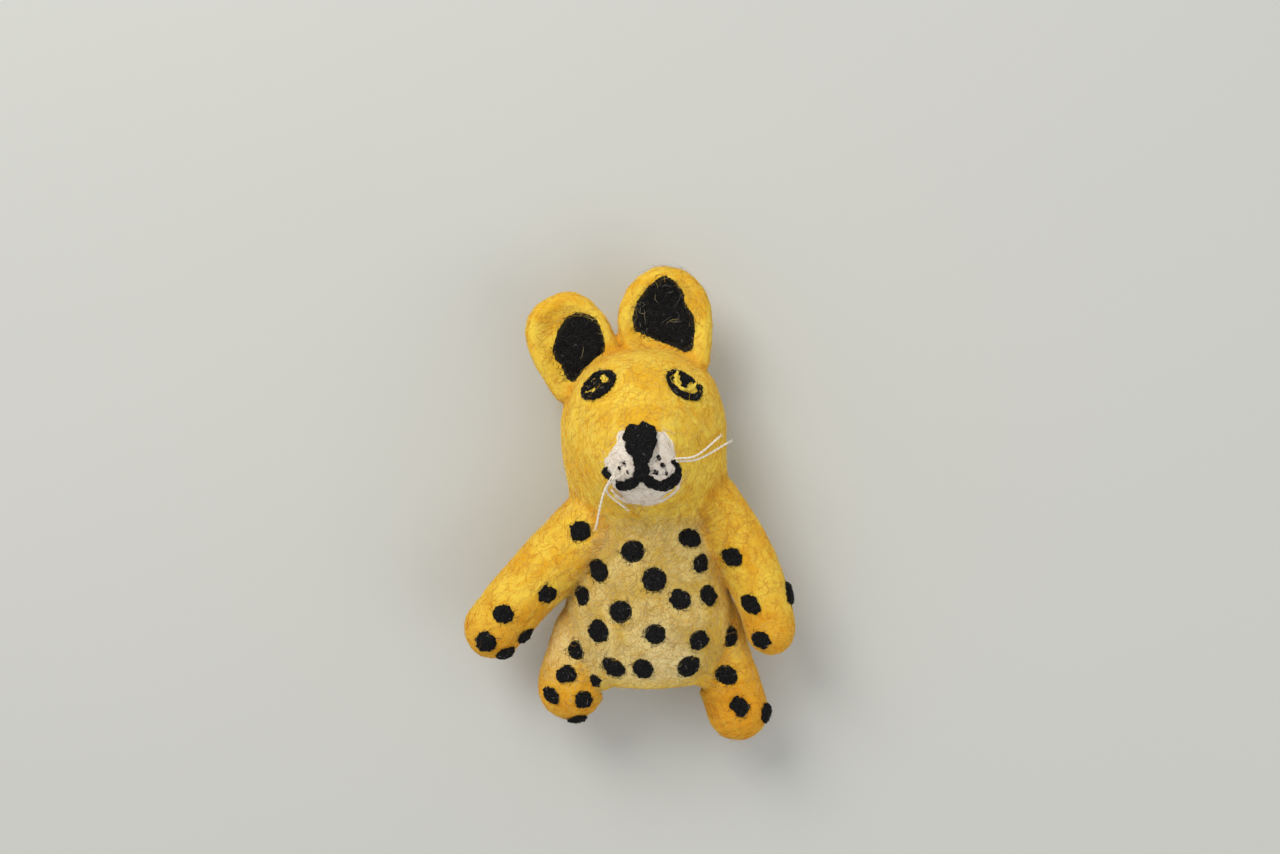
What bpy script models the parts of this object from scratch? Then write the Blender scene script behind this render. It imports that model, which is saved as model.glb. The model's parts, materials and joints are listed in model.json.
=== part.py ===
"""Needle-felted finger puppet of a spotted cat, lying on its back.

Metres, +Z up. +Y runs from the hem to the ears, +Z comes out of the belly and the face, and +X is
the puppet's own left. The origin is on the flat of the back, where the puppet rests.

One hollow sleeve of felt is head and torso together. Arms, legs and ears are felted apart and needled
on. Tufts of black and white wool make the spots, ear linings, muzzle, nose, mouth and eyes, and the
whiskers are ends of thread sewn through the muzzle.
"""

import math

import bmesh
import bpy
from mathutils import Vector
from mathutils.bvhtree import BVHTree

# The scene starts empty
for old in list(bpy.data.objects):
    bpy.data.objects.remove(old)

# Gaps and wool thicknesses
SEAT_GAP = 0.0003
TUFT_LIFT = 0.00038
LIMB_TUFT_LIFT = 0.00046
TUFT_ROOT = 0.0012
TUFT_THICKNESS = 0.0006
MUZZLE_THICKNESS = 0.0007
NOSE_THICKNESS = 0.0019

# Sleeve of head and torso
BODY_LENGTH = 0.0690
BACK_REST_HEIGHT = 0.0360
BACK_PRESSED = 0.0008
HEM_WIDTH = 0.0310
HEM_DEPTH = 0.0245
HIP_LEVEL = 0.0120
HIP_WIDTH = 0.0345
HIP_DEPTH = 0.0275
WAIST_LEVEL = 0.0255
WAIST_WIDTH = 0.0306
WAIST_DEPTH = 0.0265
CHEST_LEVEL = 0.0365
CHEST_WIDTH = 0.0315
CHEST_DEPTH = 0.0250
HEAD_WIDTH = 0.0330
HEAD_DEPTH = 0.0290
HEAD_SHIFT = -0.0008
TORSO_SHIFT = 0.0002
CROWN_HEIGHT = 0.0190
CROWN_FULLNESS = 2.4
HEM_ROLL = 0.0022

# Y of the top of the head, which the snout, face and ears keep their distance from
CROWN_Y = BODY_LENGTH - BACK_REST_HEIGHT

# Finger pocket
POCKET_WIDTH = 0.0184
POCKET_HEIGHT = 0.0164
POCKET_DEPTH = 0.0520
POCKET_TAPER = 0.88
POCKET_END = 0.0075

# Snout, a blunt bump on the front of the head, at a drop below the top of the head
SNOUT_RISE = 0.0094
SNOUT_DROP = 0.0210
SNOUT_WIDTH = 0.0172
SNOUT_BRIDGE = 0.0116
SNOUT_CHIN = 0.0078
SNOUT_BLUNTNESS = 1.40

# Limbs, each from its root inside the sleeve by a bend to the middle of its paw
LIMBS = {
    "arm_right": {
        "root": (-0.0080, -0.0005, 0.0150), "bend": (-0.0195, -0.0090, 0.0170),
        "paw": (-0.0310, -0.0238, 0.0160), "root_radius": 0.0072, "paw_radius": 0.0062,
        "material": "orange_wool",
    },
    "arm_left": {
        "root": (0.0120, 0.0020, 0.0155), "bend": (0.0212, -0.0070, 0.0180),
        "paw": (0.0246, -0.0235, 0.0178), "root_radius": 0.0061, "paw_radius": 0.0052,
        "material": "orange_wool",
    },
    "leg_right": {
        "root": (-0.0080, -0.0190, 0.0130), "bend": (-0.0140, -0.0290, 0.0130),
        "paw": (-0.0155, -0.0363, 0.0140), "root_radius": 0.0074, "paw_radius": 0.0070,
        "material": "yellow_wool",
    },
    "leg_left": {
        "root": (0.0100, -0.0185, 0.0125), "bend": (0.0140, -0.0280, 0.0120),
        "paw": (0.0184, -0.0417, 0.0125), "root_radius": 0.0065, "paw_radius": 0.0064,
        "material": "yellow_wool",
    },
}

# Ears, and the black linings as corners from each ear's middle
EARS = {
    "left": {"centre": Vector((0.0034, CROWN_Y + 0.0045, 0.0140)), "tilt_deg": 2.0,
             "half_width": 0.0092, "half_height": 0.0113, "squareness": 2.0, "outward": 1},
    "right": {"centre": Vector((-0.0147, CROWN_Y - 0.0001, 0.0140)), "tilt_deg": -28.0,
              "half_width": 0.0082, "half_height": 0.0109, "squareness": 2.5, "outward": -1},
}
EAR_THICKNESS = 0.0062
EAR_FOOT_SQUARENESS = 4.5
LINING_OUTLINES = {
    "left": ((-0.0006, 0.0094), (0.0028, 0.0068), (0.0034, 0.0040), (0.0054, 0.0014),
             (0.0052, -0.0046), (0.0026, -0.0042), (-0.0034, -0.0020), (-0.0062, -0.0004),
             (-0.0052, 0.0050)),
    "right": ((0.0040, 0.0056), (0.0062, 0.0034), (0.0062, 0.0004), (0.0053, -0.0030),
              (0.0020, -0.0036), (-0.0016, -0.0052), (-0.0037, -0.0053), (-0.0034, -0.0014),
              (-0.0040, 0.0008), (0.0002, 0.0050)),
}

# Face, as (x, y) from the middle of the muzzle
FACE_X = -0.0014
FACE_DROP = 0.0211
FACE_Y = CROWN_Y - FACE_DROP
FRONT_HEIGHT = 0.080
MUZZLE_OUTLINE = (
    (0.0, 0.0102), (0.0042, 0.0084), (0.0070, 0.0042), (0.0078, -0.0010), (0.0060, -0.0054),
    (0.0014, -0.0083), (-0.0034, -0.0070), (-0.0060, -0.0034), (-0.0078, 0.0004),
    (-0.0058, 0.0048), (-0.0040, 0.0084),
)
NOSE_OUTLINE = (
    (0.0, 0.0088), (0.0020, 0.0083), (0.0029, 0.0063), (0.0023, 0.0041), (0.0014, 0.0020),
    (0.0012, -0.0008), (0.0, -0.0018), (-0.0012, -0.0008), (-0.0011, 0.0020), (-0.0022, 0.0041),
    (-0.0029, 0.0061), (-0.0023, 0.0081),
)
MOUTH_LEFT = (
    (0.0021, -0.0014), (0.0028, -0.0026), (0.0044, -0.0030), (0.0060, -0.0020), (0.0065, 0.0004),
)
MOUTH_RIGHT = (
    (-0.0018, -0.0016), (-0.0026, -0.0027), (-0.0040, -0.0026), (-0.0052, -0.0012),
    (-0.0064, -0.0004),
)
MOUTH_WIDTH = 0.0018
EYE_APART = 0.0163
EYE_DROP = 0.0066
EYE_Y = CROWN_Y - EYE_DROP
EYE_HALF_WIDTH = 0.0036
EYE_HALF_HEIGHT = 0.0017
EYE_LEAN = 35.0
EYE_LINE = 0.0009
PUPIL_RADIUS = 0.0006

# Whiskers, as (x, y, rise) points from where the thread leaves the muzzle
WHISKER_DIAMETER = 0.0005
WHISKERS = {
    "left_upper": ((0.0066, 0.0022, 0.0), (0.0105, 0.0034, 0.001), (0.0152, 0.0066, 0.0)),
    "left_lower": ((0.0070, 0.0010, 0.0), (0.0110, 0.0020, 0.001), (0.0172, 0.0052, -0.001)),
    "right_outer": ((-0.0046, 0.0004, 0.0), (-0.0070, -0.0040, 0.002), (-0.0086, -0.0115, 0.0)),
    "right_inner": (
        (-0.0034, -0.0005, 0.0), (-0.0054, -0.0020, -0.0004), (-0.0064, -0.0048, -0.0040),
        (-0.0022, -0.0088, -0.0062),
    ),
}

# Spots. On the sleeve: height above the hem and turn from +X to the front
SPOT_RADIUS = 0.0021
LIMB_SPOT_SCALE = 0.92
SPOT_SHAPES = (
    (1.00, 0.94, 10), (1.14, 0.88, -25), (0.88, 1.02, 35), (1.08, 1.08, 0), (0.88, 0.86, -10),
)
BODY_SPOTS = (
    (0.0299, 102), (0.0320, 59), (0.0255, 130), (0.0244, 86), (0.0268, 48), (0.0181, 110),
    (0.0205, 68), (0.0204, 43), (0.0136, 126), (0.0138, 86), (0.0118, 55), (0.0064, 115),
    (0.0065, 94), (0.0065, 62), (0.0200, 145), (0.0405, -30),
)
BODY_BACK_SPOTS = (
    (0.0570, 203), (0.0550, 228), (0.0580, 337), (0.0555, 312), (0.0480, 214), (0.0480, 326),
    (0.0400, 226), (0.0385, 312), (0.0320, 226), (0.0310, 314), (0.0240, 232), (0.0225, 310),
    (0.0160, 237), (0.0145, 304), (0.0080, 237), (0.0065, 304),
)
# On a limb: a point at the felt
LIMB_SPOTS = {
    "arm_right": (
        (-0.0134, -0.0025, 0.0226), (-0.0286, -0.0193, 0.0227), (-0.0198, -0.0154, 0.0223),
        (-0.0323, -0.0252, 0.0221), (-0.0246, -0.0245, 0.0192), (-0.0284, -0.0281, 0.0195),
    ),
    "arm_left": (
        (0.0164, -0.0078, 0.0226), (0.0201, -0.0173, 0.0227), (0.0222, -0.0247, 0.0225),
        (0.0296, -0.0157, 0.0185),
    ),
    "leg_right": (
        (-0.0164, -0.0322, 0.0205), (-0.0196, -0.0365, 0.0198), (-0.0130, -0.0374, 0.0203),
        (-0.0142, -0.0422, 0.0172), (-0.0141, -0.0271, 0.0204),
    ),
    "leg_left": (
        (0.0160, -0.0250, 0.0176), (0.0159, -0.0328, 0.0183), (0.0185, -0.0392, 0.0184),
        (0.0236, -0.0418, 0.0148),
    ),
}
LIMB_BACK_SPOTS = {
    "arm_right": ((-0.0215, -0.0115, 0.0094), (-0.0295, -0.0225, 0.0095)),
    "arm_left": ((0.0210, -0.0105, 0.0115), (0.0246, -0.0220, 0.0123)),
    "leg_right": ((-0.0156, -0.0360, 0.0069),),
    "leg_left": ((0.0170, -0.0375, 0.0064),),
}

# Mesh fineness
BODY_SEGMENTS = 36
CROWN_RINGS = 9
TORSO_RINGS = 25
LIP_RINGS = 3
LIMB_SEGMENTS = 18
LIMB_RINGS = 9
PAW_RINGS = 5
EAR_SEGMENTS = 20
LINING_SEGMENTS = 16
FACE_SEGMENTS = 20
TUFT_SEGMENTS = 10
TUFT_SHOULDER = 0.94
TUFT_CROWN = 0.60
FEEL = 0.0006
STRAND_SIDES = 6
STRAND_TAPER = 0.55
MOUTH_POINTS = 9
EYE_POINTS = 14
PUPIL_SEGMENTS = 8
WHISKER_POINTS = 9

# Wool colours: linear RGB, with the roughness of dry felt
WOOL_COLOURS = {
    "yellow_wool": (0.72, 0.40, 0.035, 1.0),
    "orange_wool": (0.74, 0.36, 0.020, 1.0),
    "black_wool": (0.008, 0.008, 0.009, 1.0),
    "white_wool": (0.66, 0.58, 0.52, 1.0),
    "white_thread": (0.80, 0.74, 0.66, 1.0),
}
WOOL_ROUGHNESS = 0.95


def height_to_y(height):
    """Y of a height above the hem."""
    return height - BACK_REST_HEIGHT


def wool(name):
    """The material of one wool, made once."""
    found = bpy.data.materials.get(name)
    if found:
        return found
    made = bpy.data.materials.new(name)
    made.use_nodes = True
    shader = made.node_tree.nodes["Principled BSDF"]
    shader.inputs["Base Color"].default_value = WOOL_COLOURS[name]
    shader.inputs["Roughness"].default_value = WOOL_ROUGHNESS
    made.diffuse_color = WOOL_COLOURS[name]
    return made


def put_in_scene(name, mesh, material):
    """Makes an object of a finished bmesh, with smooth shading."""
    data = bpy.data.meshes.new(name)
    bmesh.ops.recalc_face_normals(mesh, faces=mesh.faces)
    mesh.to_mesh(data)
    mesh.free()
    data.shade_smooth()
    data.materials.append(wool(material))
    made = bpy.data.objects.new(name, data)
    bpy.context.scene.collection.objects.link(made)
    return made


def smooth_through(stations, place):
    """Reads a row of values at a place from stations of (place, values...), on a smooth curve."""
    last = len(stations) - 1
    place = min(max(place, stations[0][0]), stations[last][0])
    low = max(i for i in range(last) if stations[i][0] <= place or i == 0)
    span = stations[low + 1][0] - stations[low][0]
    share = (place - stations[low][0]) / span
    around = [stations[min(max(low + step, 0), last)] for step in (-1, 0, 1, 2)]
    values = []
    for column in range(1, len(stations[0])):
        slope_in = (around[2][column] - around[0][column]) / (around[2][0] - around[0][0])
        slope_out = (around[3][column] - around[1][column]) / (around[3][0] - around[1][0])
        start, end = around[1][column], around[2][column]
        values.append(
            (2 * share**3 - 3 * share**2 + 1) * start
            + (share**3 - 2 * share**2 + share) * span * slope_in
            + (3 * share**2 - 2 * share**3) * end
            + (share**3 - share**2) * span * slope_out
        )
    return values


def loft(rings, closed_ends=(True, True)):
    """Skins rings of equally many points, in order. A ring of one point is a pole."""
    mesh = bmesh.new()
    loops = [[mesh.verts.new(point) for point in ring] for ring in rings]
    for lower, upper in zip(loops, loops[1:]):
        count = max(len(lower), len(upper))
        for i in range(count):
            j = (i + 1) % count
            corners = [lower[i % len(lower)], lower[j % len(lower)]]
            corners += [upper[j % len(upper)], upper[i % len(upper)]]
            mesh.faces.new(list(dict.fromkeys(corners)))
    for loop, close in ((loops[0], closed_ends[0]), (loops[-1], closed_ends[1])):
        if close and len(loop) > 2:
            mesh.faces.new(loop)
    return mesh


# Sleeve


def body_section(height):
    """Half width, half depth and middle X of the sleeve at a height above the hem."""
    crown_start = BODY_LENGTH - CROWN_HEIGHT
    stations = (
        (0.0, HEM_WIDTH, HEM_DEPTH, TORSO_SHIFT),
        (HIP_LEVEL, HIP_WIDTH, HIP_DEPTH, TORSO_SHIFT),
        (WAIST_LEVEL, WAIST_WIDTH, WAIST_DEPTH, TORSO_SHIFT),
        (CHEST_LEVEL, CHEST_WIDTH, CHEST_DEPTH, TORSO_SHIFT),
        (crown_start, HEAD_WIDTH, HEAD_DEPTH, HEAD_SHIFT),
        (BODY_LENGTH, HEAD_WIDTH, HEAD_DEPTH, HEAD_SHIFT),
    )
    width, depth, middle = smooth_through(stations, height)
    if height > crown_start:
        share = min((height - crown_start) / CROWN_HEIGHT, 1.0)
        dome = (1 - share**CROWN_FULLNESS) ** (1 / CROWN_FULLNESS)
        return dome * width / 2, dome * depth / 2, middle
    return width / 2, depth / 2, middle


def body_middle_z(height):
    """Z of the sleeve's middle line: the back lies in one plane, pressed flat by a little."""
    full_depth = body_section(min(height, BODY_LENGTH - CROWN_HEIGHT))[1]
    return full_depth - BACK_PRESSED


def snout_rise(x, y):
    """How far the snout lifts the front of the head at a place."""
    along = y - (CROWN_Y - SNOUT_DROP)
    reach = SNOUT_BRIDGE if along > 0 else SNOUT_CHIN
    spread = ((x - HEAD_SHIFT) / (SNOUT_WIDTH / 2)) ** 2 + (along / reach) ** 2
    return SNOUT_RISE * math.exp(-0.5 * spread**SNOUT_BLUNTNESS)


def body_ring(height):
    """Points of the sleeve's outside at a height."""
    half_width, half_depth, middle = body_section(height)
    y, ring = height_to_y(height), []
    for i in range(BODY_SEGMENTS):
        turn = 2 * math.pi * i / BODY_SEGMENTS
        x = middle + half_width * math.cos(turn)
        z = body_middle_z(height) + half_depth * math.sin(turn)
        if math.sin(turn) > 0:
            z += snout_rise(x, y) * min(1.0, 2 * math.sin(turn))
        ring.append(Vector((x, y, max(z, 0.0))))
    return ring


def outside_heights():
    """Heights of the rings from the crown down to the top of the rolled hem."""
    crown = [BODY_LENGTH - CROWN_HEIGHT * (1 - math.sin(0.5 * math.pi * i / CROWN_RINGS))
             for i in range(CROWN_RINGS - 1, 0, -1)]
    torso_top = BODY_LENGTH - CROWN_HEIGHT
    step = (torso_top - HEM_ROLL) / TORSO_RINGS
    return crown + [torso_top - step * i for i in range(TORSO_RINGS + 1)]


def pocket_ring(height, size):
    """Points of the finger pocket at a height, at a share of the mouth's size."""
    middle_z = body_middle_z(height)
    middle_x = body_section(height)[2]
    return [
        Vector((
            middle_x + size * POCKET_WIDTH / 2 * math.cos(2 * math.pi * i / BODY_SEGMENTS),
            height_to_y(height),
            middle_z + size * POCKET_HEIGHT / 2 * math.sin(2 * math.pi * i / BODY_SEGMENTS),
        ))
        for i in range(BODY_SEGMENTS)
    ]


def hem_lip(outer, inner, roll):
    """Rings that roll from the outside into the pocket's mouth, by a drop."""
    rings = []
    for step in range(1, LIP_RINGS + 1):
        turn = math.pi * step / (LIP_RINGS + 1)
        across = (1 - math.cos(turn)) / 2
        drop = Vector((0, -roll * math.sin(turn), 0))
        rings.append([a.lerp(b, across) + drop for a, b in zip(outer, inner)])
    return rings


def crown_pole():
    """The top of the head."""
    return [Vector((HEAD_SHIFT, CROWN_Y, body_middle_z(BODY_LENGTH)))]


def make_body():
    """The hollow sleeve, open at the hem."""
    outside = [crown_pole()] + [body_ring(h) for h in outside_heights()]
    shaft_end = POCKET_DEPTH - POCKET_END
    mouth = pocket_ring(HEM_ROLL, 1.0)
    shaft = [mouth]
    for step in (1, 2, 3):
        height = HEM_ROLL + (shaft_end - HEM_ROLL) * step / 3
        shaft.append(pocket_ring(height, 1 + (POCKET_TAPER - 1) * step / 3))
    end = []
    for step in (1, 2):
        turn = 0.5 * math.pi * step / 3
        end.append(pocket_ring(shaft_end + POCKET_END * math.sin(turn), POCKET_TAPER * math.cos(turn)))
    middle_x = body_section(POCKET_DEPTH)[2]
    tip = [Vector((middle_x, height_to_y(POCKET_DEPTH), body_middle_z(POCKET_DEPTH)))]
    rings = outside + hem_lip(outside[-1], mouth, HEM_ROLL) + shaft + end + [tip]
    return put_in_scene("body_sleeve", loft(rings), "yellow_wool")


def make_seat_cutter():
    """The sleeve's outside grown by the seat gap, with a finger's way out of the hem.

    What is needled on is cut by it.
    """
    outside = [crown_pole()] + [body_ring(h) for h in outside_heights()]
    roll = HEM_ROLL + SEAT_GAP
    lip = hem_lip(outside[-1], pocket_ring(HEM_ROLL, 1.0), roll)[: (LIP_RINGS + 1) // 2]
    finger_way = [pocket_ring(-roll - depth, 1.0) for depth in (SEAT_GAP, POCKET_DEPTH / 2)]
    cutter = put_in_scene("seat_cutter", loft(outside + lip + finger_way), "yellow_wool")
    grown = bmesh.new()
    grown.from_mesh(cutter.data)
    grown.normal_update()
    for vert, normal in [(v, v.normal.copy()) for v in grown.verts]:
        vert.co += normal * SEAT_GAP
    grown.to_mesh(cutter.data)
    grown.free()
    hide_helper(cutter)
    return cutter


def hide_helper(helper):
    """Keeps a cutting or joining solid out of the model."""
    helper.hide_render = True
    helper.display_type = "WIRE"


def cut_by(piece, cutter):
    """Cuts a piece by a hidden solid, so that it seats on what the solid stands for."""
    cut = piece.modifiers.new("seat on " + cutter.name, "BOOLEAN")
    cut.operation = "DIFFERENCE"
    cut.solver = "EXACT"
    cut.object = cutter


# Limbs


def make_limb(name, root, bend, paw, root_radius, paw_radius, material):
    """A rounded rod of felt from inside the sleeve to its paw, along a bent middle line."""
    root, bend, paw = Vector(root), Vector(bend), Vector(paw)

    def ring_at(share, radius, ahead):
        middle = (1 - share) ** 2 * root + 2 * share * (1 - share) * bend + share**2 * paw
        along = (2 * (1 - share) * (bend - root) + 2 * share * (paw - bend)).normalized()
        side = along.cross(Vector((0, 0, 1))).normalized()
        front = side.cross(along)
        middle = middle + along * ahead
        return [
            middle + radius * (math.cos(turn) * side + math.sin(turn) * front)
            for turn in (2 * math.pi * i / LIMB_SEGMENTS for i in range(LIMB_SEGMENTS))
        ]

    rings = []
    for i in range(LIMB_RINGS + 1):
        share = i / LIMB_RINGS
        rings.append(ring_at(share, root_radius + (paw_radius - root_radius) * share, 0.0))
    for i in range(1, PAW_RINGS):
        turn = 0.5 * math.pi * i / PAW_RINGS
        rings.append(ring_at(1.0, paw_radius * math.cos(turn), paw_radius * math.sin(turn)))
    tip = paw + (paw - bend).normalized() * paw_radius
    return put_in_scene(name, loft(rings + [[tip]]), material)


# Ears


def ear_frame(tilt_deg):
    """Side, up and front directions of an ear that leans by an angle towards +X."""
    tilt = math.radians(tilt_deg)
    up = Vector((math.sin(tilt), math.cos(tilt), 0))
    return Vector((math.cos(tilt), -math.sin(tilt), 0)), up, Vector((0, 0, 1))


def make_ear(name, centre, tilt_deg, half_width, half_height, squareness, outward):
    """A thick flap of felt with a rolled rim and a dished front, squarer at its outer foot."""
    side, up, front = ear_frame(tilt_deg)
    profile = (
        (0.50, -0.42), (0.80, -0.36), (0.96, -0.18), (1.00, 0.08),
        (0.94, 0.34), (0.84, 0.42), (0.74, 0.34), (0.60, 0.22), (0.34, 0.16),
    )

    def ring_at(size, level):
        ring = []
        for i in range(EAR_SEGMENTS):
            turn = 2 * math.pi * i / EAR_SEGMENTS
            at_foot = math.sin(turn) < 0 and outward * math.cos(turn) > 0
            power = EAR_FOOT_SQUARENESS if at_foot else squareness
            swell = abs(math.cos(turn)) ** power + abs(math.sin(turn)) ** power
            reach = size * swell ** (-1 / power)
            across = reach * half_width * math.cos(turn)
            along = reach * half_height * math.sin(turn)
            ring.append(centre + across * side + along * up + level * EAR_THICKNESS * front)
        return ring

    back = [centre - 0.45 * EAR_THICKNESS * front]
    dish = [centre + 0.14 * EAR_THICKNESS * front]
    return put_in_scene(name, loft([back] + [ring_at(*row) for row in profile] + [dish]), "yellow_wool")


# Tufts and strands laid on the felt


def surface_of(carrier):
    """A tree of a carrier's surface, for rays and for the nearest point."""
    points = [vert.co.copy() for vert in carrier.data.vertices]
    return BVHTree.FromPolygons(points, [list(face.vertices) for face in carrier.data.polygons])


def closed_curve(points, count):
    """Points spaced along a smooth closed curve through the given ones."""
    made = []
    for i in range(count):
        place = len(points) * i / count
        low, share = int(place), place % 1.0
        a, b, c, d = (Vector(points[(low + step) % len(points)]) for step in (-1, 0, 1, 2))
        made.append(0.5 * (2 * b + (c - a) * share + (2 * a - 5 * b + 4 * c - d) * share**2
                           + (3 * b - a - 3 * c + d) * share**3))
    return made


def open_curve(points, count):
    """Points spaced along a smooth open curve through the given ones."""
    rows = [(float(i), *point) for i, point in enumerate(points)]
    return [Vector(smooth_through(rows, (len(points) - 1) * i / (count - 1))) for i in range(count)]


class Aim:
    """Where a tuft is laid: a point outside the felt, the way in, and the tuft's two directions."""

    def __init__(self, outside, inward, along):
        self.outside = Vector(outside)
        self.inward = Vector(inward).normalized()
        self.across = Vector(along).cross(-self.inward).normalized()
        self.along = (-self.inward).cross(self.across)

    def cast(self, surface, u, v):
        """The point and facing of the felt straight under a place in the tuft's plane."""
        start = self.outside + u * self.across + v * self.along
        point, facing = surface.ray_cast(start, self.inward)[:2]
        return (point, facing) if point else surface.find_nearest(start)[:2]

    def land(self, surface, u, v):
        """The point of the felt under a place in the tuft's plane, and the way out of the felt."""
        facing = Vector((0, 0, 0))
        for i in range(6):
            turn = 2 * math.pi * i / 6
            facing += self.cast(surface, u + FEEL * math.cos(turn), v + FEEL * math.sin(turn))[1]
        return self.cast(surface, u, v)[0], facing.normalized()


class Wrap(Aim):
    """An aim that settles square to the felt nearest to a point, for a tuft that wraps round it."""

    def __init__(self, surface, near):
        middle, facing = surface.find_nearest(Vector(near))[:2]
        rough = Aim(middle, -facing, (0, 1, 0.02))
        square = Vector((0, 0, 0))
        for i in range(8):
            turn = 2 * math.pi * i / 8
            u, v = SPOT_RADIUS * math.cos(turn), SPOT_RADIUS * math.sin(turn)
            square += surface.find_nearest(middle + u * rough.across + v * rough.along)[1]
        super().__init__(middle, -square, rough.along)

    def cast(self, surface, u, v):
        """The point and facing of the felt nearest to a place in the tuft's plane."""
        return surface.find_nearest(self.outside + u * self.across + v * self.along)[:2]


def front_aim(x, y):
    """Straight down on the front of the lying puppet."""
    return Aim((x, y, FRONT_HEIGHT), (0, 0, -1), (0, 1, 0))


def tuft_mesh(surface, aim, outline, thickness, lift, rows=1):
    """A domed tuft that follows the felt under it. Outline points are (u, v) in the aim's plane."""
    shares = [row / rows for row in range(1, rows)] or [TUFT_CROWN]

    def ring_at(share, rise):
        landed = [aim.land(surface, share * u, share * v) for u, v in outline]
        return [point + rise * out for point, out in landed]

    bottom = [ring_at(row / rows, lift) for row in range(1, rows + 1)]
    shoulder = ring_at(TUFT_SHOULDER, lift + 0.62 * thickness)
    top = [ring_at(share, lift + thickness * (1 - 0.1 * share)) for share in reversed(shares)]
    point, out = aim.land(surface, 0, 0)
    rings = [[point + lift * out]] + bottom + [shoulder] + top + [[point + (lift + thickness) * out]]
    return loft(rings)


def lay_tuft(name, surface, aim, outline, thickness, material, rows=1, lift=TUFT_LIFT):
    """Makes a tuft of wool that seats on the felt."""
    return put_in_scene(name, tuft_mesh(surface, aim, outline, thickness, lift, rows), material)


def lay_strand(name, surface, path, width, thickness, material, lift, ring=False):
    """A flat strand of wool laid along (x, y) points on the front, open or closed into a ring."""
    count = len(path)
    landed = [front_aim(*point).land(surface, 0, 0) for point in path]
    sections = []
    for i, (point, normal) in enumerate(landed):
        before = landed[(i - 1) % count if ring else max(i - 1, 0)][0]
        after = landed[(i + 1) % count if ring else min(i + 1, count - 1)][0]
        across = (after - before).cross(normal).normalized()
        taper = 1.0 if ring or 0 < i < count - 1 else STRAND_TAPER
        section = []
        for k in range(STRAND_SIDES):
            turn = 2 * math.pi * k / STRAND_SIDES
            rise = lift + thickness / 2 * (1 + math.sin(turn))
            section.append(point + normal * rise + across * (taper * width / 2 * math.cos(turn)))
        sections.append(section)
    if ring:
        sections.append(sections[0])
    mesh = loft(sections, closed_ends=(not ring, not ring))
    bmesh.ops.remove_doubles(mesh, verts=mesh.verts, dist=1e-6)
    return put_in_scene(name, mesh, material)


def oval(half_width, half_height, count, lean_deg=0.0):
    """An oval outline, leaning by an angle."""
    lean = math.radians(lean_deg)
    points = []
    for i in range(count):
        turn = 2 * math.pi * i / count
        u, v = half_width * math.cos(turn), half_height * math.sin(turn)
        points.append((u * math.cos(lean) - v * math.sin(lean), u * math.sin(lean) + v * math.cos(lean)))
    return points


def smooth_outline(corners, count):
    """A rounded outline through a few (u, v) corners."""
    return [(point.x, point.y) for point in closed_curve([(*corner, 0) for corner in corners], count)]


# Face


def make_muzzle(skin, seat_cutter):
    """The white patch that wraps the snout, and the hidden solid that what lies on it is cut by."""
    outline = smooth_outline(MUZZLE_OUTLINE, FACE_SEGMENTS)
    aim = front_aim(FACE_X, FACE_Y)
    patch_depth = TUFT_ROOT + SEAT_GAP + MUZZLE_THICKNESS
    patch = tuft_mesh(skin, aim, outline, patch_depth, -TUFT_ROOT, rows=4)
    cut_by(put_in_scene("muzzle", patch, "white_wool"), seat_cutter)
    grown = tuft_mesh(skin, aim, outline, patch_depth + TUFT_LIFT, -TUFT_ROOT, rows=4)
    cutter = put_in_scene("muzzle_cutter", grown, "white_wool")
    hide_helper(cutter)
    return cutter


def make_nose(skin, muzzle_cutter):
    """The raised nose, with the tail that runs down between the lips."""
    outline = smooth_outline(NOSE_OUTLINE, FACE_SEGMENTS)
    depth = MUZZLE_THICKNESS + NOSE_THICKNESS
    mesh = tuft_mesh(skin, front_aim(FACE_X, FACE_Y), outline, depth, 0.0, rows=3)
    cut_by(put_in_scene("nose", mesh, "black_wool"), muzzle_cutter)


def make_mouth(skin, side, route, muzzle_cutter):
    """One curl of the mouth."""
    path = [(FACE_X + p.x, FACE_Y + p.y) for p in open_curve([(*q, 0) for q in route], MOUTH_POINTS)]
    rise = 2 * SEAT_GAP + MUZZLE_THICKNESS
    curl = lay_strand(f"mouth_{side}", skin, path, MOUTH_WIDTH, rise + TUFT_THICKNESS, "black_wool", 0.0)
    cut_by(curl, muzzle_cutter)


def make_eye(skin, side, way):
    """A leaning almond outline with a round pupil in it."""
    x = FACE_X + way * EYE_APART / 2
    line = oval(EYE_HALF_WIDTH, EYE_HALF_HEIGHT, EYE_POINTS, -way * EYE_LEAN)
    path = [(x + u, EYE_Y + v) for u, v in line]
    name = f"eye_outline_{side}"
    lay_strand(name, skin, path, EYE_LINE, TUFT_THICKNESS, "black_wool", TUFT_LIFT, ring=True)
    pupil = oval(PUPIL_RADIUS, PUPIL_RADIUS, PUPIL_SEGMENTS)
    lay_tuft(f"pupil_{side}", skin, front_aim(x, EYE_Y), pupil, TUFT_THICKNESS, "black_wool")


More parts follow.
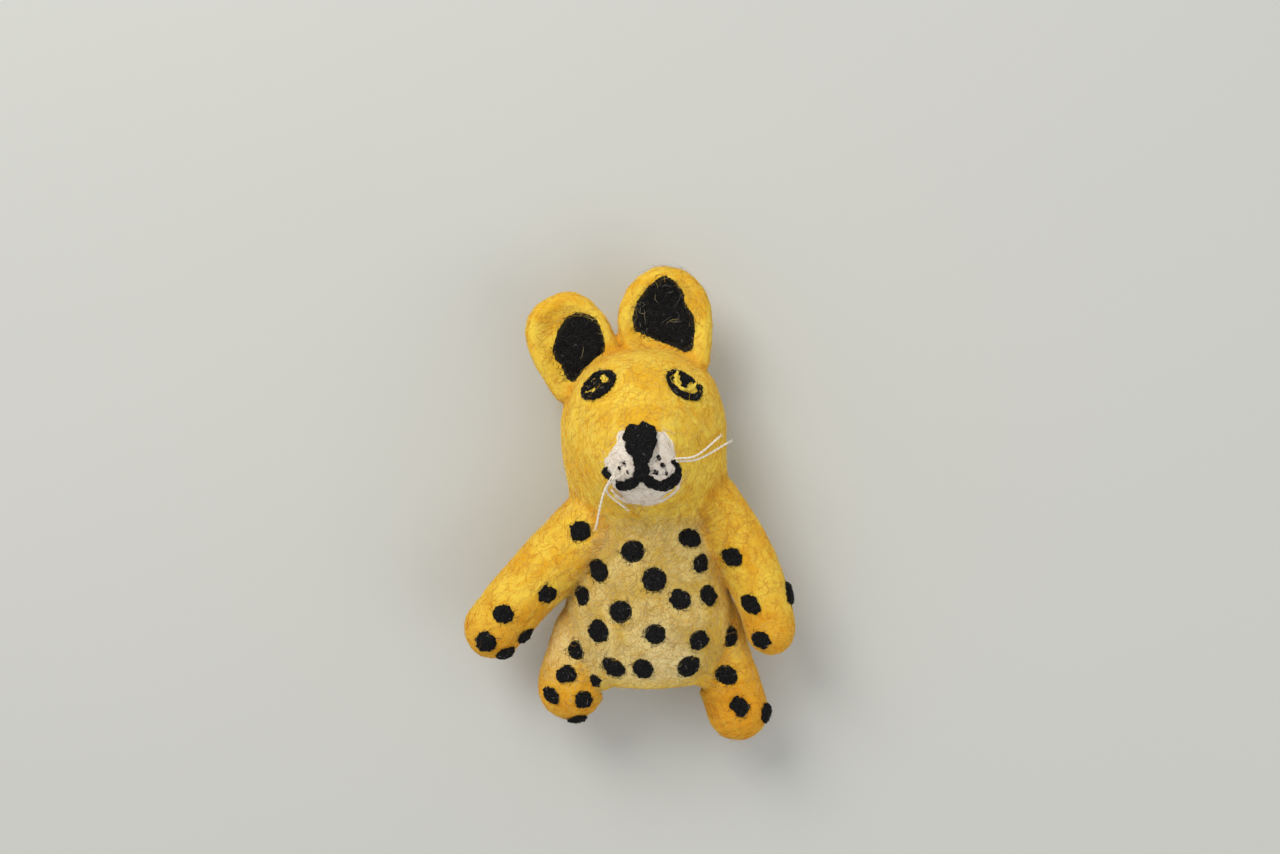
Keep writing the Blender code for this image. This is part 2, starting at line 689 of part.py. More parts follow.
def make_whisker(name, skin, route):
    """An end of sewing thread that leaves the muzzle at the route's first point."""
    start = front_aim(FACE_X + route[0][0], FACE_Y + route[0][1]).land(skin, 0, 0)[0]
    base = start.z + MUZZLE_THICKNESS + 3 * SEAT_GAP + WHISKER_DIAMETER / 2
    points = [(FACE_X + x, FACE_Y + y, base + rise) for x, y, rise in route]
    curve = bpy.data.curves.new(name, "CURVE")
    curve.dimensions = "3D"
    curve.bevel_depth = WHISKER_DIAMETER / 2
    curve.bevel_resolution = 1
    curve.use_fill_caps = True
    line = curve.splines.new("POLY")
    line.points.add(WHISKER_POINTS - 1)
    for knot, place in zip(line.points, open_curve(points, WHISKER_POINTS)):
        knot.co = (*place, 1.0)
    curve.materials.append(wool("white_thread"))
    made = bpy.data.objects.new(name, curve)
    bpy.context.scene.collection.objects.link(made)
    return made


def make_lining(side, ear, placing):
    """The black wool in the dish of one ear."""
    up, front = ear_frame(placing["tilt_deg"])[1:]
    aim = Aim(placing["centre"] + FRONT_HEIGHT * front, -front, up)
    outline = smooth_outline(LINING_OUTLINES[side], LINING_SEGMENTS)
    dish = surface_of(ear)
    return lay_tuft(f"ear_lining_{side}", dish, aim, outline, TUFT_THICKNESS, "black_wool", rows=3)


# Spots


def sleeve_point(height, turn_deg):
    """The point of the sleeve's outside at a height above the hem, turned from +X to the front."""
    half_width, half_depth, middle_x = body_section(height)
    turn = math.radians(turn_deg)
    x = middle_x + half_width * math.cos(turn)
    z = body_middle_z(height) + half_depth * math.sin(turn)
    return Vector((x, height_to_y(height), z))


def spot_outline(index, scale=1.0):
    """The oval of one spot: a few sizes and leans take turns."""
    across, along, lean = SPOT_SHAPES[index % len(SPOT_SHAPES)]
    return oval(SPOT_RADIUS * scale * across, SPOT_RADIUS * scale * along, TUFT_SEGMENTS, lean)


def lay_spots(stem, surface, places, scale, lift):
    """Lays black spots on a carrier's surface, each at the felt nearest to its place."""
    spots = []
    for index, place in enumerate(places):
        name = f"{stem}_spot_{index + 1:02d}"
        outline = spot_outline(index, scale)
        aim = Wrap(surface, place)
        spots.append(lay_tuft(name, surface, aim, outline, TUFT_THICKNESS, "black_wool", lift=lift))
    return spots


def felt_in_spots(carrier, places):
    """Joins black spots to their carrier, with their roots sunk into it."""
    surface = surface_of(carrier)
    joined = bmesh.new()
    for index, place in enumerate(places):
        spot = tuft_mesh(surface, Wrap(surface, place), spot_outline(index),
                         TUFT_ROOT + TUFT_THICKNESS, -TUFT_ROOT)
        data = bpy.data.meshes.new("spot")
        spot.to_mesh(data)
        spot.free()
        joined.from_mesh(data)
        bpy.data.meshes.remove(data)
    helper = put_in_scene(carrier.name + "_back_spots", joined, "black_wool")
    hide_helper(helper)
    union = carrier.modifiers.new("back spots", "BOOLEAN")
    union.operation = "UNION"
    union.solver = "EXACT"
    union.material_mode = "TRANSFER"
    union.object = helper


# Puppet


def main():
    body = make_body()
    seat_cutter = make_seat_cutter()
    skin = surface_of(body)
    muzzle_cutter = make_muzzle(skin, seat_cutter)
    make_nose(skin, muzzle_cutter)
    make_mouth(skin, "left", MOUTH_LEFT, muzzle_cutter)
    make_mouth(skin, "right", MOUTH_RIGHT, muzzle_cutter)
    make_eye(skin, "left", 1)
    make_eye(skin, "right", -1)
    for name, route in WHISKERS.items():
        make_whisker(f"whisker_{name}", skin, route)
    for side, placing in EARS.items():
        ear = make_ear(f"ear_{side}", **placing)
        lining = make_lining(side, ear, placing)
        cut_by(ear, seat_cutter)
        cut_by(lining, seat_cutter)
    lay_spots("body", skin, [sleeve_point(*place) for place in BODY_SPOTS], 1.0, TUFT_LIFT)
    felt_in_spots(body, [sleeve_point(*place) for place in BODY_BACK_SPOTS])
    for name, placing in LIMBS.items():
        limb = make_limb(name, **placing)
        spots = lay_spots(name, surface_of(limb), LIMB_SPOTS[name], LIMB_SPOT_SCALE, LIMB_TUFT_LIFT)
        for spot in spots:
            cut_by(spot, seat_cutter)
        felt_in_spots(limb, LIMB_BACK_SPOTS[name])
        cut_by(limb, seat_cutter)


main()
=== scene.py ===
"""The looks of a needle-felted finger puppet: a spotted yellow cat lying on its back.

The felt of head, torso, limbs and ears is one skin, remeshed from the model's own solids and
roughened like needled wool. Black and white tufts lie on it, fine fibres lie over all of it, and
the whiskers are ends of twisted thread. Metres, +Z up, +Y from the hem to the ears.
"""

import json
import logging
import math
from collections.abc import Sequence
from dataclasses import dataclass, field
from enum import Enum
from typing import ClassVar

import bpy
import numpy as np
from mathutils import Matrix, Vector, noise
from mathutils.bvhtree import BVHTree

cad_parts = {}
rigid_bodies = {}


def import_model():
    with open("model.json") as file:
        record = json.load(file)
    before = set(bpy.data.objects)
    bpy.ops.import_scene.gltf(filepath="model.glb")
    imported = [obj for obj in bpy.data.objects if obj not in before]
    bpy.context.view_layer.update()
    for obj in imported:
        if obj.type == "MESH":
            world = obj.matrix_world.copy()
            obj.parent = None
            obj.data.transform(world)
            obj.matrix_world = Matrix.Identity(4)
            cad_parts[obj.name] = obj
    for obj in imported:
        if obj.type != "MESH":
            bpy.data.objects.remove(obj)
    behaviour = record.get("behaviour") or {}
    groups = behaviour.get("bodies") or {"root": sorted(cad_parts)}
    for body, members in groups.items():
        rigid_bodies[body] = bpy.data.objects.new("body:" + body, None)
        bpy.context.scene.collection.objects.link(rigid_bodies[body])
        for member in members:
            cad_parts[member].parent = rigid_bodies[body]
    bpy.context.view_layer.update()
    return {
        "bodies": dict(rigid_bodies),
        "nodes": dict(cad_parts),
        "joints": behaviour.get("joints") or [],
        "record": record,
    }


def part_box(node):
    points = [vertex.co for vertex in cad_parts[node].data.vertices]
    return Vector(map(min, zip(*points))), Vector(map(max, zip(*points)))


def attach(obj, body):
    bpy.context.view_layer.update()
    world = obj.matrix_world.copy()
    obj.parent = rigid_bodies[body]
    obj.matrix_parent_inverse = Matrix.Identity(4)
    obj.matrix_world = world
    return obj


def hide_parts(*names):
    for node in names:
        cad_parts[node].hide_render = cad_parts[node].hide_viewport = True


LOG = logging.getLogger("finger_puppet")
BODY = "root"
MM = 0.001
NOISE_SEED = 11
# Points of a copied node that are nearer than this are one point
MERGE_APART = 2e-6
# Points of less weight stay out of a vertex group
LEAST_WEIGHT = 0.02
# Added to a length before something is divided by it
NO_LENGTH = 1e-12
# A heading shorter than this has no direction
LEAST_HEADING = 1e-6

Colour = tuple[float, float, float, float]
# Numbers that a pattern is made with, or between which a dye comes in
Span = tuple[float, ...]


def dye(red: int, green: int, blue: int) -> Colour:
    """Linear colour of a dyed wool.

    Args:
        red: Red as seen on a screen, 0 to 255.
        green: Green, the same.
        blue: Blue, the same.

    Returns:
        Linear red, green, blue and alpha.
    """
    shares = (red / 255, green / 255, blue / 255)
    linear = [c / 12.92 if c <= 0.04045 else ((c + 0.055) / 1.055) ** 2.4 for c in shares]
    return (*linear, 1.0)


class Wool(Enum):
    """Dyed wools and threads, each with its colour."""

    YELLOW = dye(250, 215, 76)
    LEMON = dye(252, 228, 124)
    GOLD = dye(240, 186, 40)
    ORANGE = dye(226, 148, 14)
    TAN = dye(226, 198, 122)
    BEIGE = dye(236, 216, 160)
    OLIVE = dye(206, 172, 78)
    BLACK = dye(15, 14, 14)
    SOOT = dye(44, 42, 42)
    GREY = dye(150, 146, 140)
    WHITE = dye(250, 239, 222)
    PINK = dye(228, 206, 192)
    THREAD = dye(240, 230, 212)


class Place(Enum):
    """Point attributes of the felt that its material and its fibres read."""

    BELLY = "belly"
    # Orange of the limbs and ears, with painted shade of darker orange in creases and at the limbs'
    # ends
    ORANGE_AND_SHADE = "orange_and_shade"
    BLACKENED = "blackened"
    WHITENED = "whitened"


# Steps that several pieces share


def deselect() -> None:
    """Leaves nothing selected."""
    bpy.ops.object.select_all(action="DESELECT")


def make_active(piece: bpy.types.Object) -> None:
    """Selects one piece alone and makes it the active one.

    Args:
        piece: The piece.
    """
    deselect()
    piece.select_set(True)
    bpy.context.view_layer.objects.active = piece


def copy_nodes(frame: dict, name: str, nodes: Sequence[str]) -> bpy.types.Object:
    """Copies nodes of the model, merges their loose triangles and joins them.

    Args:
        name: The new piece's name.
        nodes: The nodes to copy.

    Returns:
        One new object.
    """
    copies = []
    for node in nodes:
        mesh = frame["nodes"][node].data.copy()
        mesh.materials.clear()
        copy = bpy.data.objects.new(name, mesh)
        bpy.context.scene.collection.objects.link(copy)
        copies.append(copy)
    piece = join(copies)
    bpy.ops.object.mode_set(mode="EDIT")
    bpy.ops.mesh.select_all(action="SELECT")
    bpy.ops.mesh.remove_doubles(threshold=MERGE_APART)
    bpy.ops.object.mode_set(mode="OBJECT")
    piece.name = name
    return piece


def apply_modifier(piece: bpy.types.Object, modifier: bpy.types.Modifier) -> None:
    """Applies a modifier to its piece."""
    make_active(piece)
    bpy.ops.object.modifier_apply(modifier=modifier.name)


def swell(piece: bpy.types.Object, amount: float, group: str = "") -> None:
    """Moves a surface out along its normals.

    Args:
        piece: The piece.
        amount: How far, in metres.
        group: The vertex group that moves, or nothing for all of it.
    """
    modifier = piece.modifiers.new("swell", "DISPLACE")
    modifier.mid_level = 0.0
    modifier.strength = amount
    modifier.vertex_group = group
    apply_modifier(piece, modifier)


def weigh_points(piece: bpy.types.Object, name: str, weights: np.ndarray) -> None:
    """Gathers points into a vertex group, without those of the least weight.

    Args:
        piece: The piece.
        name: The new group's name.
        weights: Each point's weight, from 0 to 1.
    """
    group = piece.vertex_groups.new(name=name)
    for index in np.nonzero(weights > LEAST_WEIGHT)[0]:
        group.add([int(index)], float(weights[index]), "REPLACE")


def remesh(piece: bpy.types.Object, voxel: float) -> None:
    """Makes one even closed skin of all that a piece holds.

    Args:
        piece: The piece.
        voxel: Width of the new skin's cells in metres.
    """
    modifier = piece.modifiers.new("remesh", "REMESH")
    modifier.mode = "VOXEL"
    modifier.voxel_size = voxel
    modifier.use_smooth_shade = True
    apply_modifier(piece, modifier)


def relax(piece: bpy.types.Object, times: int, group: str = "", factor: float = 0.5) -> None:
    """Smooths a piece, or only what a vertex group holds.

    Args:
        piece: The piece to smooth.
        times: How often.
        group: The vertex group, or nothing for all of it.
        factor: How far each point moves towards its neighbours.
    """
    modifier = piece.modifiers.new("relax", "SMOOTH")
    modifier.factor = factor
    modifier.iterations = times
    modifier.vertex_group = group
    apply_modifier(piece, modifier)


def roughen(piece: bpy.types.Object, lump: float, height: float, depth: int = 2) -> None:
    """Raises and sinks a surface in soft random lumps.

    Args:
        piece: The piece to roughen.
        lump: Size of a lump in metres.
        height: From the lowest to the highest, in metres.
        depth: How many finer layers of lumps are added.
    """
    texture = bpy.data.textures.new(f"lumps {lump:.5f}", "CLOUDS")
    texture.noise_scale = lump
    texture.noise_depth = depth
    modifier = piece.modifiers.new("roughen", "DISPLACE")
    modifier.texture = texture
    modifier.texture_coords = "LOCAL"
    modifier.mid_level = 0.5
    modifier.strength = height
    apply_modifier(piece, modifier)


def points_of(piece: bpy.types.Object) -> np.ndarray:
    """Reads the points of a piece's mesh.

    Args:
        piece: The piece.

    Returns:
        Rows of x, y, z.
    """
    flat = np.empty(len(piece.data.vertices) * 3, np.float32)
    piece.data.vertices.foreach_get("co", flat)
    return flat.reshape(-1, 3).astype(float)


def set_points(piece: bpy.types.Object, points: np.ndarray) -> None:
    """Moves a piece's points."""
    piece.data.vertices.foreach_set("co", points.astype(np.float32).ravel())
    piece.data.update()


def write_values(piece: bpy.types.Object, place: Place, values: np.ndarray) -> None:
    """Writes one point attribute of a piece.

    Args:
        piece: The piece.
        place: The attribute.
        values: Its value at each point.
    """
    found = piece.data.attributes.get(place.value)
    made = found or piece.data.attributes.new(place.value, "FLOAT", "POINT")
    made.data.foreach_set("value", values.astype(np.float32))


def tree_of(piece: bpy.types.Object) -> BVHTree:
    """A search tree of a piece's surface."""
    faces = [list(face.vertices) for face in piece.data.polygons]
    return BVHTree.FromPolygons([vert.co.copy() for vert in piece.data.vertices], faces)


def smooth_line(knots: np.ndarray, count: int) -> np.ndarray:
    """Points spaced along a smooth open curve through some knots.

    Args:
        knots: The knots as rows.
        count: How many points.

    Returns:
        The points as rows.
    """
    slopes = np.gradient(knots, axis=0)
    along = np.linspace(0, len(knots) - 1, count)
    low = np.minimum(along.astype(int), len(knots) - 2)
    share = (along - low)[:, None]
    near, far = share * share * (3 - 2 * share), share * share * (share - 1)
    start = share * (1 - share) ** 2
    return ((1 - near) * knots[low] + start * slopes[low]
            + near * knots[low + 1] + far * slopes[low + 1])


def thread_mesh(name: str, lines: Sequence[np.ndarray], radius: float,
                shares: np.ndarray) -> bpy.types.Object:
    """Makes round closed strands along lines.

    Args:
        name: The new object's name.
        lines: Each strand's points.
        radius: A strand's full radius in metres.
        shares: The share of the radius at each point of a line.

    Returns:
        One mesh object.
    """
    curve = bpy.data.curves.new(name, "CURVE")
    curve.dimensions = "3D"
    curve.bevel_depth = radius
    curve.bevel_resolution = 2
    curve.use_fill_caps = True
    for line in lines:
        spline = curve.splines.new("POLY")
        spline.points.add(len(line) - 1)
        for knot, place, share in zip(spline.points, line, shares):
            knot.co = (*place, 1.0)
            knot.radius = float(share)
    made = bpy.data.objects.new(name, curve)
    bpy.context.scene.collection.objects.link(made)
    make_active(made)
    bpy.ops.object.convert(target="MESH")
    return bpy.context.view_layer.objects.active


def join(pieces: Sequence[bpy.types.Object]) -> bpy.types.Object:
    """Joins pieces into the first of them.

    Args:
        pieces: The pieces, or only one.

    Returns:
        The joined piece.
    """
    make_active(pieces[0])
    for piece in pieces:
        piece.select_set(True)
    if len(pieces) > 1:
        bpy.ops.object.join()
    return bpy.context.view_layer.objects.active


def ease(value: np.ndarray, start: float, end: float) -> np.ndarray:
    """A smooth step from 0 at start to 1 at end."""
    share = np.clip((value - start) / (end - start), 0.0, 1.0)
    return share * share * (3 - 2 * share)


def finish_piece(piece: bpy.types.Object, nodes: Sequence[str],
                 materials: Sequence[bpy.types.Material]) -> None:
    """Gives a piece its materials and body, and hides the nodes that it stands for.

    Args:
        piece: The finished piece.
        nodes: The nodes that it replaces.
        materials: Its materials, in order.
    """
    while len(piece.data.materials) < len(materials):
        piece.data.materials.append(None)
    for index, material in enumerate(materials):
        piece.data.materials[index] = material
    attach(piece, BODY)
    if nodes:
        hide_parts(*nodes)
    LOG.info("%s: %d faces", piece.name, len(piece.data.polygons))


# Finishes


class Nodes:
    """Short calls for building one material's node tree."""

    # Numbers of a Mix node's colour sockets
    UNDER: ClassVar[int] = 6
    OVER: ClassVar[int] = 7
    MIXED: ClassVar[int] = 2

    def __init__(self, name: str) -> None:
        """Starts a material with a Principled shader.

        Args:
            name: The material's name.
        """
        self.material = bpy.data.materials.new(name)
        self.material.use_nodes = True
        self.tree = self.material.node_tree
        self.shader = self.tree.nodes["Principled BSDF"]
        self.place = self.tree.nodes.new("ShaderNodeTexCoord").outputs["Object"]

    def link(self, source: bpy.types.NodeSocket, target: bpy.types.NodeSocket) -> None:
        """Joins two sockets."""
        self.tree.links.new(source, target)

    def grain(self, scale: float, detail: float = 3.0, twist: float = 0.0) -> bpy.types.NodeSocket:
        """Soft noise.

        Args:
            scale: Grains to a metre.
            detail: Finer layers.
            twist: Distortion, which draws the noise out into wisps.

        Returns:
            The noise from 0 to 1.
        """
        node = self.tree.nodes.new("ShaderNodeTexNoise")
        node.inputs["Scale"].default_value = scale
        node.inputs["Detail"].default_value = detail
        node.inputs["Distortion"].default_value = twist
        self.link(self.place, node.inputs["Vector"])
        return node.outputs["Fac"]

    def attribute(self, name: Place) -> bpy.types.NodeSocket:
        """Reads a point attribute.

        Args:
            name: The attribute.

        Returns:
            Its value.
        """
        node = self.tree.nodes.new("ShaderNodeAttribute")
        node.attribute_name = name.value
        return node.outputs["Fac"]

    def between(self, source: bpy.types.NodeSocket, low: float, high: float,
                start: float = 0.0, end: float = 1.0) -> bpy.types.NodeSocket:
        """Maps a value from one span to another and clamps it.

        Args:
            source: The value.
            low: Where the first span starts.
            high: Where it ends.
            start: The result at its start.
            end: The result at its end.

        Returns:
            The mapped value.
        """
        node = self.tree.nodes.new("ShaderNodeMapRange")
        node.interpolation_type = "SMOOTHSTEP"
        spans = zip(("From Min", "From Max", "To Min", "To Max"), (low, high, start, end))
        for socket, value in spans:
            node.inputs[socket].default_value = value
        self.link(source, node.inputs["Value"])
        return node.outputs["Result"]

    def reckon(self, operation: str, first: bpy.types.NodeSocket,
               second: "bpy.types.NodeSocket | float") -> bpy.types.NodeSocket:
        """One step of arithmetic.

        Args:
            operation: Blender's name for it, such as ADD.
            first: The first value.
            second: The second value, or a number.

        Returns:
            The result.
        """
        node = self.tree.nodes.new("ShaderNodeMath")
        node.operation = operation
        self.link(first, node.inputs[0])
        if isinstance(second, float):
            node.inputs[1].default_value = second
        else:
            self.link(second, node.inputs[1])
        return node.outputs[0]

    def broken(self, name: Place, pattern: bpy.types.NodeSocket,
               amount: float) -> bpy.types.NodeSocket:
        """A point attribute whose edges a pattern breaks up by some amount."""
        return self.reckon("ADD", self.attribute(name), self.reckon("MULTIPLY", pattern, amount))

    def blend(self, share: bpy.types.NodeSocket, under: "bpy.types.NodeSocket | Colour",
              over: "bpy.types.NodeSocket | Colour") -> bpy.types.NodeSocket:
        """Mixes two colours by a share.

        Args:
            share: 0 for the colour under, 1 for the one over it.
            under: A colour or a colour socket.
            over: The same.

        Returns:
            The mixed colour.
        """
        node = self.tree.nodes.new("ShaderNodeMix")
        node.data_type = "RGBA"
        self.link(share, node.inputs["Factor"])
        for socket, value in ((node.inputs[self.UNDER], under), (node.inputs[self.OVER], over)):
            if isinstance(value, tuple):
                socket.default_value = value
            else:
                self.link(value, socket)
        return node.outputs[self.MIXED]

    def bump(self, height: bpy.types.NodeSocket, strength: float, distance: float) -> None:
        """Bumps the surface.

        Args:
            height: The height from 0 to 1.
            strength: How strong the bump is, from 0 to 1.
            distance: How high it is at full strength, in metres.
        """
        node = self.tree.nodes.new("ShaderNodeBump")
        node.inputs["Strength"].default_value = strength
        node.inputs["Distance"].default_value = distance
        self.link(height, node.inputs["Height"])
        self.link(node.outputs["Normal"], self.shader.inputs["Normal"])

    def wool_sheen(self, weight: float, tint: Colour) -> None:
        """Dry wool: rough, with the soft light edge of standing fibres.

        Args:
            weight: How strong the light edge is.
            tint: Its colour.
        """
        for socket, value in (("Roughness", 0.95), ("Specular IOR Level", 0.2),
                              ("Sheen Weight", weight), ("Sheen Roughness", 0.55),
                              ("Sheen Tint", tint)):
            self.shader.inputs[socket].default_value = value


@dataclass(frozen=True)
class FeltFinish:
    """The puppet's skin: yellow wool that turns tan on the belly and orange on the limbs, with
    painted shade of darker orange in creases and towards the limbs' ends.

    A pattern has its grains to a metre, finer layers and twist. A dye comes in between two values
    of what it follows, and its last two numbers say how much of it there is at each.
    """

    mottle: Span = (170.0, 4.0, 0.6)
    blotch: Span = (60.0, 2.0)
    wisp: Span = (760.0, 5.0, 3.0)
    fine: Span = (1700.0, 5.0, 1.5)
    gold: Span = (0.42, 0.66)
    blotches: Span = (0.58, 0.80, 0.0, 0.30)
    orange_and_shade: Span = (0.40, 1.20, 0.0, 0.85)
    olive: Span = (0.40, 0.62)
    beige: Span = (0.46, 0.70, 0.0, 0.8)
    belly: Span = (0.45, 1.05, 0.0, 0.94)
    lemon: Span = (0.60, 0.76, 0.0, 0.24)
    white: Span = (0.60, 0.85)
    black: Span = (0.62, 0.80)
    soft: float = 0.5
    ragged: float = 0.45
    wisp_height: float = 0.35
    bump_strength: float = 0.55
    bump_height: float = 0.00012
    sheen: float = 0.45

    def material(self) -> bpy.types.Material:
        """Builds the felt.

        Returns:
            The material.
        """
        n = Nodes("yellow felt")
        mottle = n.grain(*self.mottle)
        blotch = n.grain(*self.blotch)
        wisp = n.grain(*self.wisp)
        fine = n.grain(*self.fine)
        colour = n.blend(n.between(mottle, *self.gold), Wool.YELLOW.value, Wool.GOLD.value)
        colour = n.blend(n.between(blotch, *self.blotches), colour, Wool.ORANGE.value)
        # The limbs' own orange, and painted shade of darker orange in creases and at the limbs'
        # ends
        orange_and_shade = n.broken(Place.ORANGE_AND_SHADE, mottle, self.soft)
        colour = n.blend(n.between(orange_and_shade, *self.orange_and_shade), colour, Wool.ORANGE.value)
        belly = n.blend(n.between(mottle, *self.olive), Wool.TAN.value, Wool.OLIVE.value)
        belly = n.blend(n.between(blotch, *self.beige), belly, Wool.BEIGE.value)
        reach = n.broken(Place.BELLY, wisp, self.soft)
        colour = n.blend(n.between(reach, *self.belly), colour, belly)
        colour = n.blend(n.between(wisp, *self.lemon), colour, Wool.LEMON.value)
        white = n.broken(Place.WHITENED, wisp, self.ragged)
        colour = n.blend(n.between(white, *self.white), colour, Wool.WHITE.value)
        black = n.broken(Place.BLACKENED, fine, self.ragged)
        colour = n.blend(n.between(black, *self.black), colour, Wool.BLACK.value)
        n.link(colour, n.shader.inputs["Base Color"])
        height = n.reckon("ADD", fine, n.reckon("MULTIPLY", wisp, self.wisp_height))
        n.bump(height, self.bump_strength, self.bump_height)
        n.wool_sheen(self.sheen, Wool.LEMON.value)
        return n.material


@dataclass(frozen=True)
class TuftFinish:
    """Wool of one dye with a few fibres of another in it, its slot and the stain that it leaves."""

    name: str
    slot: str
    stain: Place
    main: Wool
    second: Wool
    sheen: float
    share: float = 0.5
    wisp: Span = (900.0, 5.0, 2.5)
    fine: Span = (2200.0, 4.0, 1.0)
    mixed: Span = (0.50, 0.78, 0.0)
    bump_strength: float = 0.9
    bump_height: float = 0.0002

    def material(self) -> bpy.types.Material:
        """Builds the wool.

        Returns:
            The material.
        """
        n = Nodes(self.name)
        wisp = n.grain(*self.wisp)
        fine = n.grain(*self.fine)
        mixed = n.between(wisp, *self.mixed, self.share)
        colour = n.blend(mixed, self.main.value, self.second.value)
        n.link(colour, n.shader.inputs["Base Color"])
        n.bump(n.reckon("ADD", wisp, fine), self.bump_strength, self.bump_height)
        n.wool_sheen(self.sheen, self.second.value)
        return n.material


BLACK_TUFT = TuftFinish("black wool", "black_wool", Place.BLACKENED, Wool.BLACK, Wool.SOOT, 0.05)
WHITE_TUFT = TuftFinish("white wool", "white_wool", Place.WHITENED, Wool.WHITE, Wool.PINK,
                        0.25, 0.55)
YELLOW_TUFT = TuftFinish("yellow wool", "yellow_wool", Place.ORANGE_AND_SHADE, Wool.YELLOW, Wool.LEMON,
                         0.25, 0.6)
WHITE_THREAD = TuftFinish("white thread", "white_thread", Place.WHITENED, Wool.THREAD, Wool.WHITE,
                          0.2, 0.6)


@dataclass(frozen=True)
class FibreFinish:
    """Single fibres of one dye, which are far thinner than any pattern on them."""

    wool: Wool
    roughness: float = 0.8
    specular: float = 0.25
    sheen: float = 0.15

    def material(self) -> bpy.types.Material:
        """Builds the fibres' wool, made once.

        Returns:
            The material.
        """
        name = f"{self.wool.name.lower()} fibre"
        found = bpy.data.materials.get(name)
        if found:
            return found
        made = bpy.data.materials.new(name)
        made.use_nodes = True
        shader = made.node_tree.nodes["Principled BSDF"]
        shader.inputs["Base Color"].default_value = self.wool.value
        shader.inputs["Roughness"].default_value = self.roughness
        shader.inputs["Specular IOR Level"].default_value = self.specular
        shader.inputs["Sheen Weight"].default_value = self.sheen
        return made


@dataclass(frozen=True)
class FloorFinish:
    """Plain pale paper."""

    colour: Colour = dye(214, 214, 207)
    shade: Colour = dye(210, 211, 204)
    clouds: Span = (6.0, 2.0)
    roughness: float = 0.9
    specular: float = 0.1

    def material(self) -> bpy.types.Material:
        """Builds the paper.

        Returns:
            The material.
        """
        n = Nodes("pale floor")
        colour = n.blend(n.grain(*self.clouds), self.colour, self.shade)
        n.link(colour, n.shader.inputs["Base Color"])
        n.shader.inputs["Roughness"].default_value = self.roughness
        n.shader.inputs["Specular IOR Level"].default_value = self.specular
        return n.material


# Fibres


@dataclass
class Felt:
    """A felt surface that fibres are laid on, with what its points say of the colours there."""

    piece: bpy.types.Object
    tree: BVHTree = field(init=False)
    corners: list[int] = field(init=False)
    centres: np.ndarray = field(init=False)
    facings: np.ndarray = field(init=False)
    areas: np.ndarray = field(init=False)

    def __post_init__(self) -> None:
        """Reads the piece's faces."""
        mesh = self.piece.data
        self.tree = tree_of(self.piece)
        self.corners = [face.vertices[0] for face in mesh.polygons]
        count = len(mesh.polygons)
        centres, facings, areas = np.empty(count * 3), np.empty(count * 3), np.empty(count)
        mesh.polygons.foreach_get("center", centres)
        mesh.polygons.foreach_get("normal", facings)
        mesh.polygons.foreach_get("area", areas)
        self.centres, self.facings = centres.reshape(-1, 3), facings.reshape(-1, 3)
        self.areas = areas

    def values(self, place: Place) -> np.ndarray:
        """Reads a point attribute at each face.

        Args:
            place: The attribute.

        Returns:
            One value a face, 0 where the piece hasn't the attribute.
        """
        found = self.piece.data.attributes.get(place.value)
        if found is None:
            return np.zeros(len(self.corners))
        flat = np.empty(len(self.piece.data.vertices), np.float32)
        found.data.foreach_get("value", flat)
        return flat[self.corners]


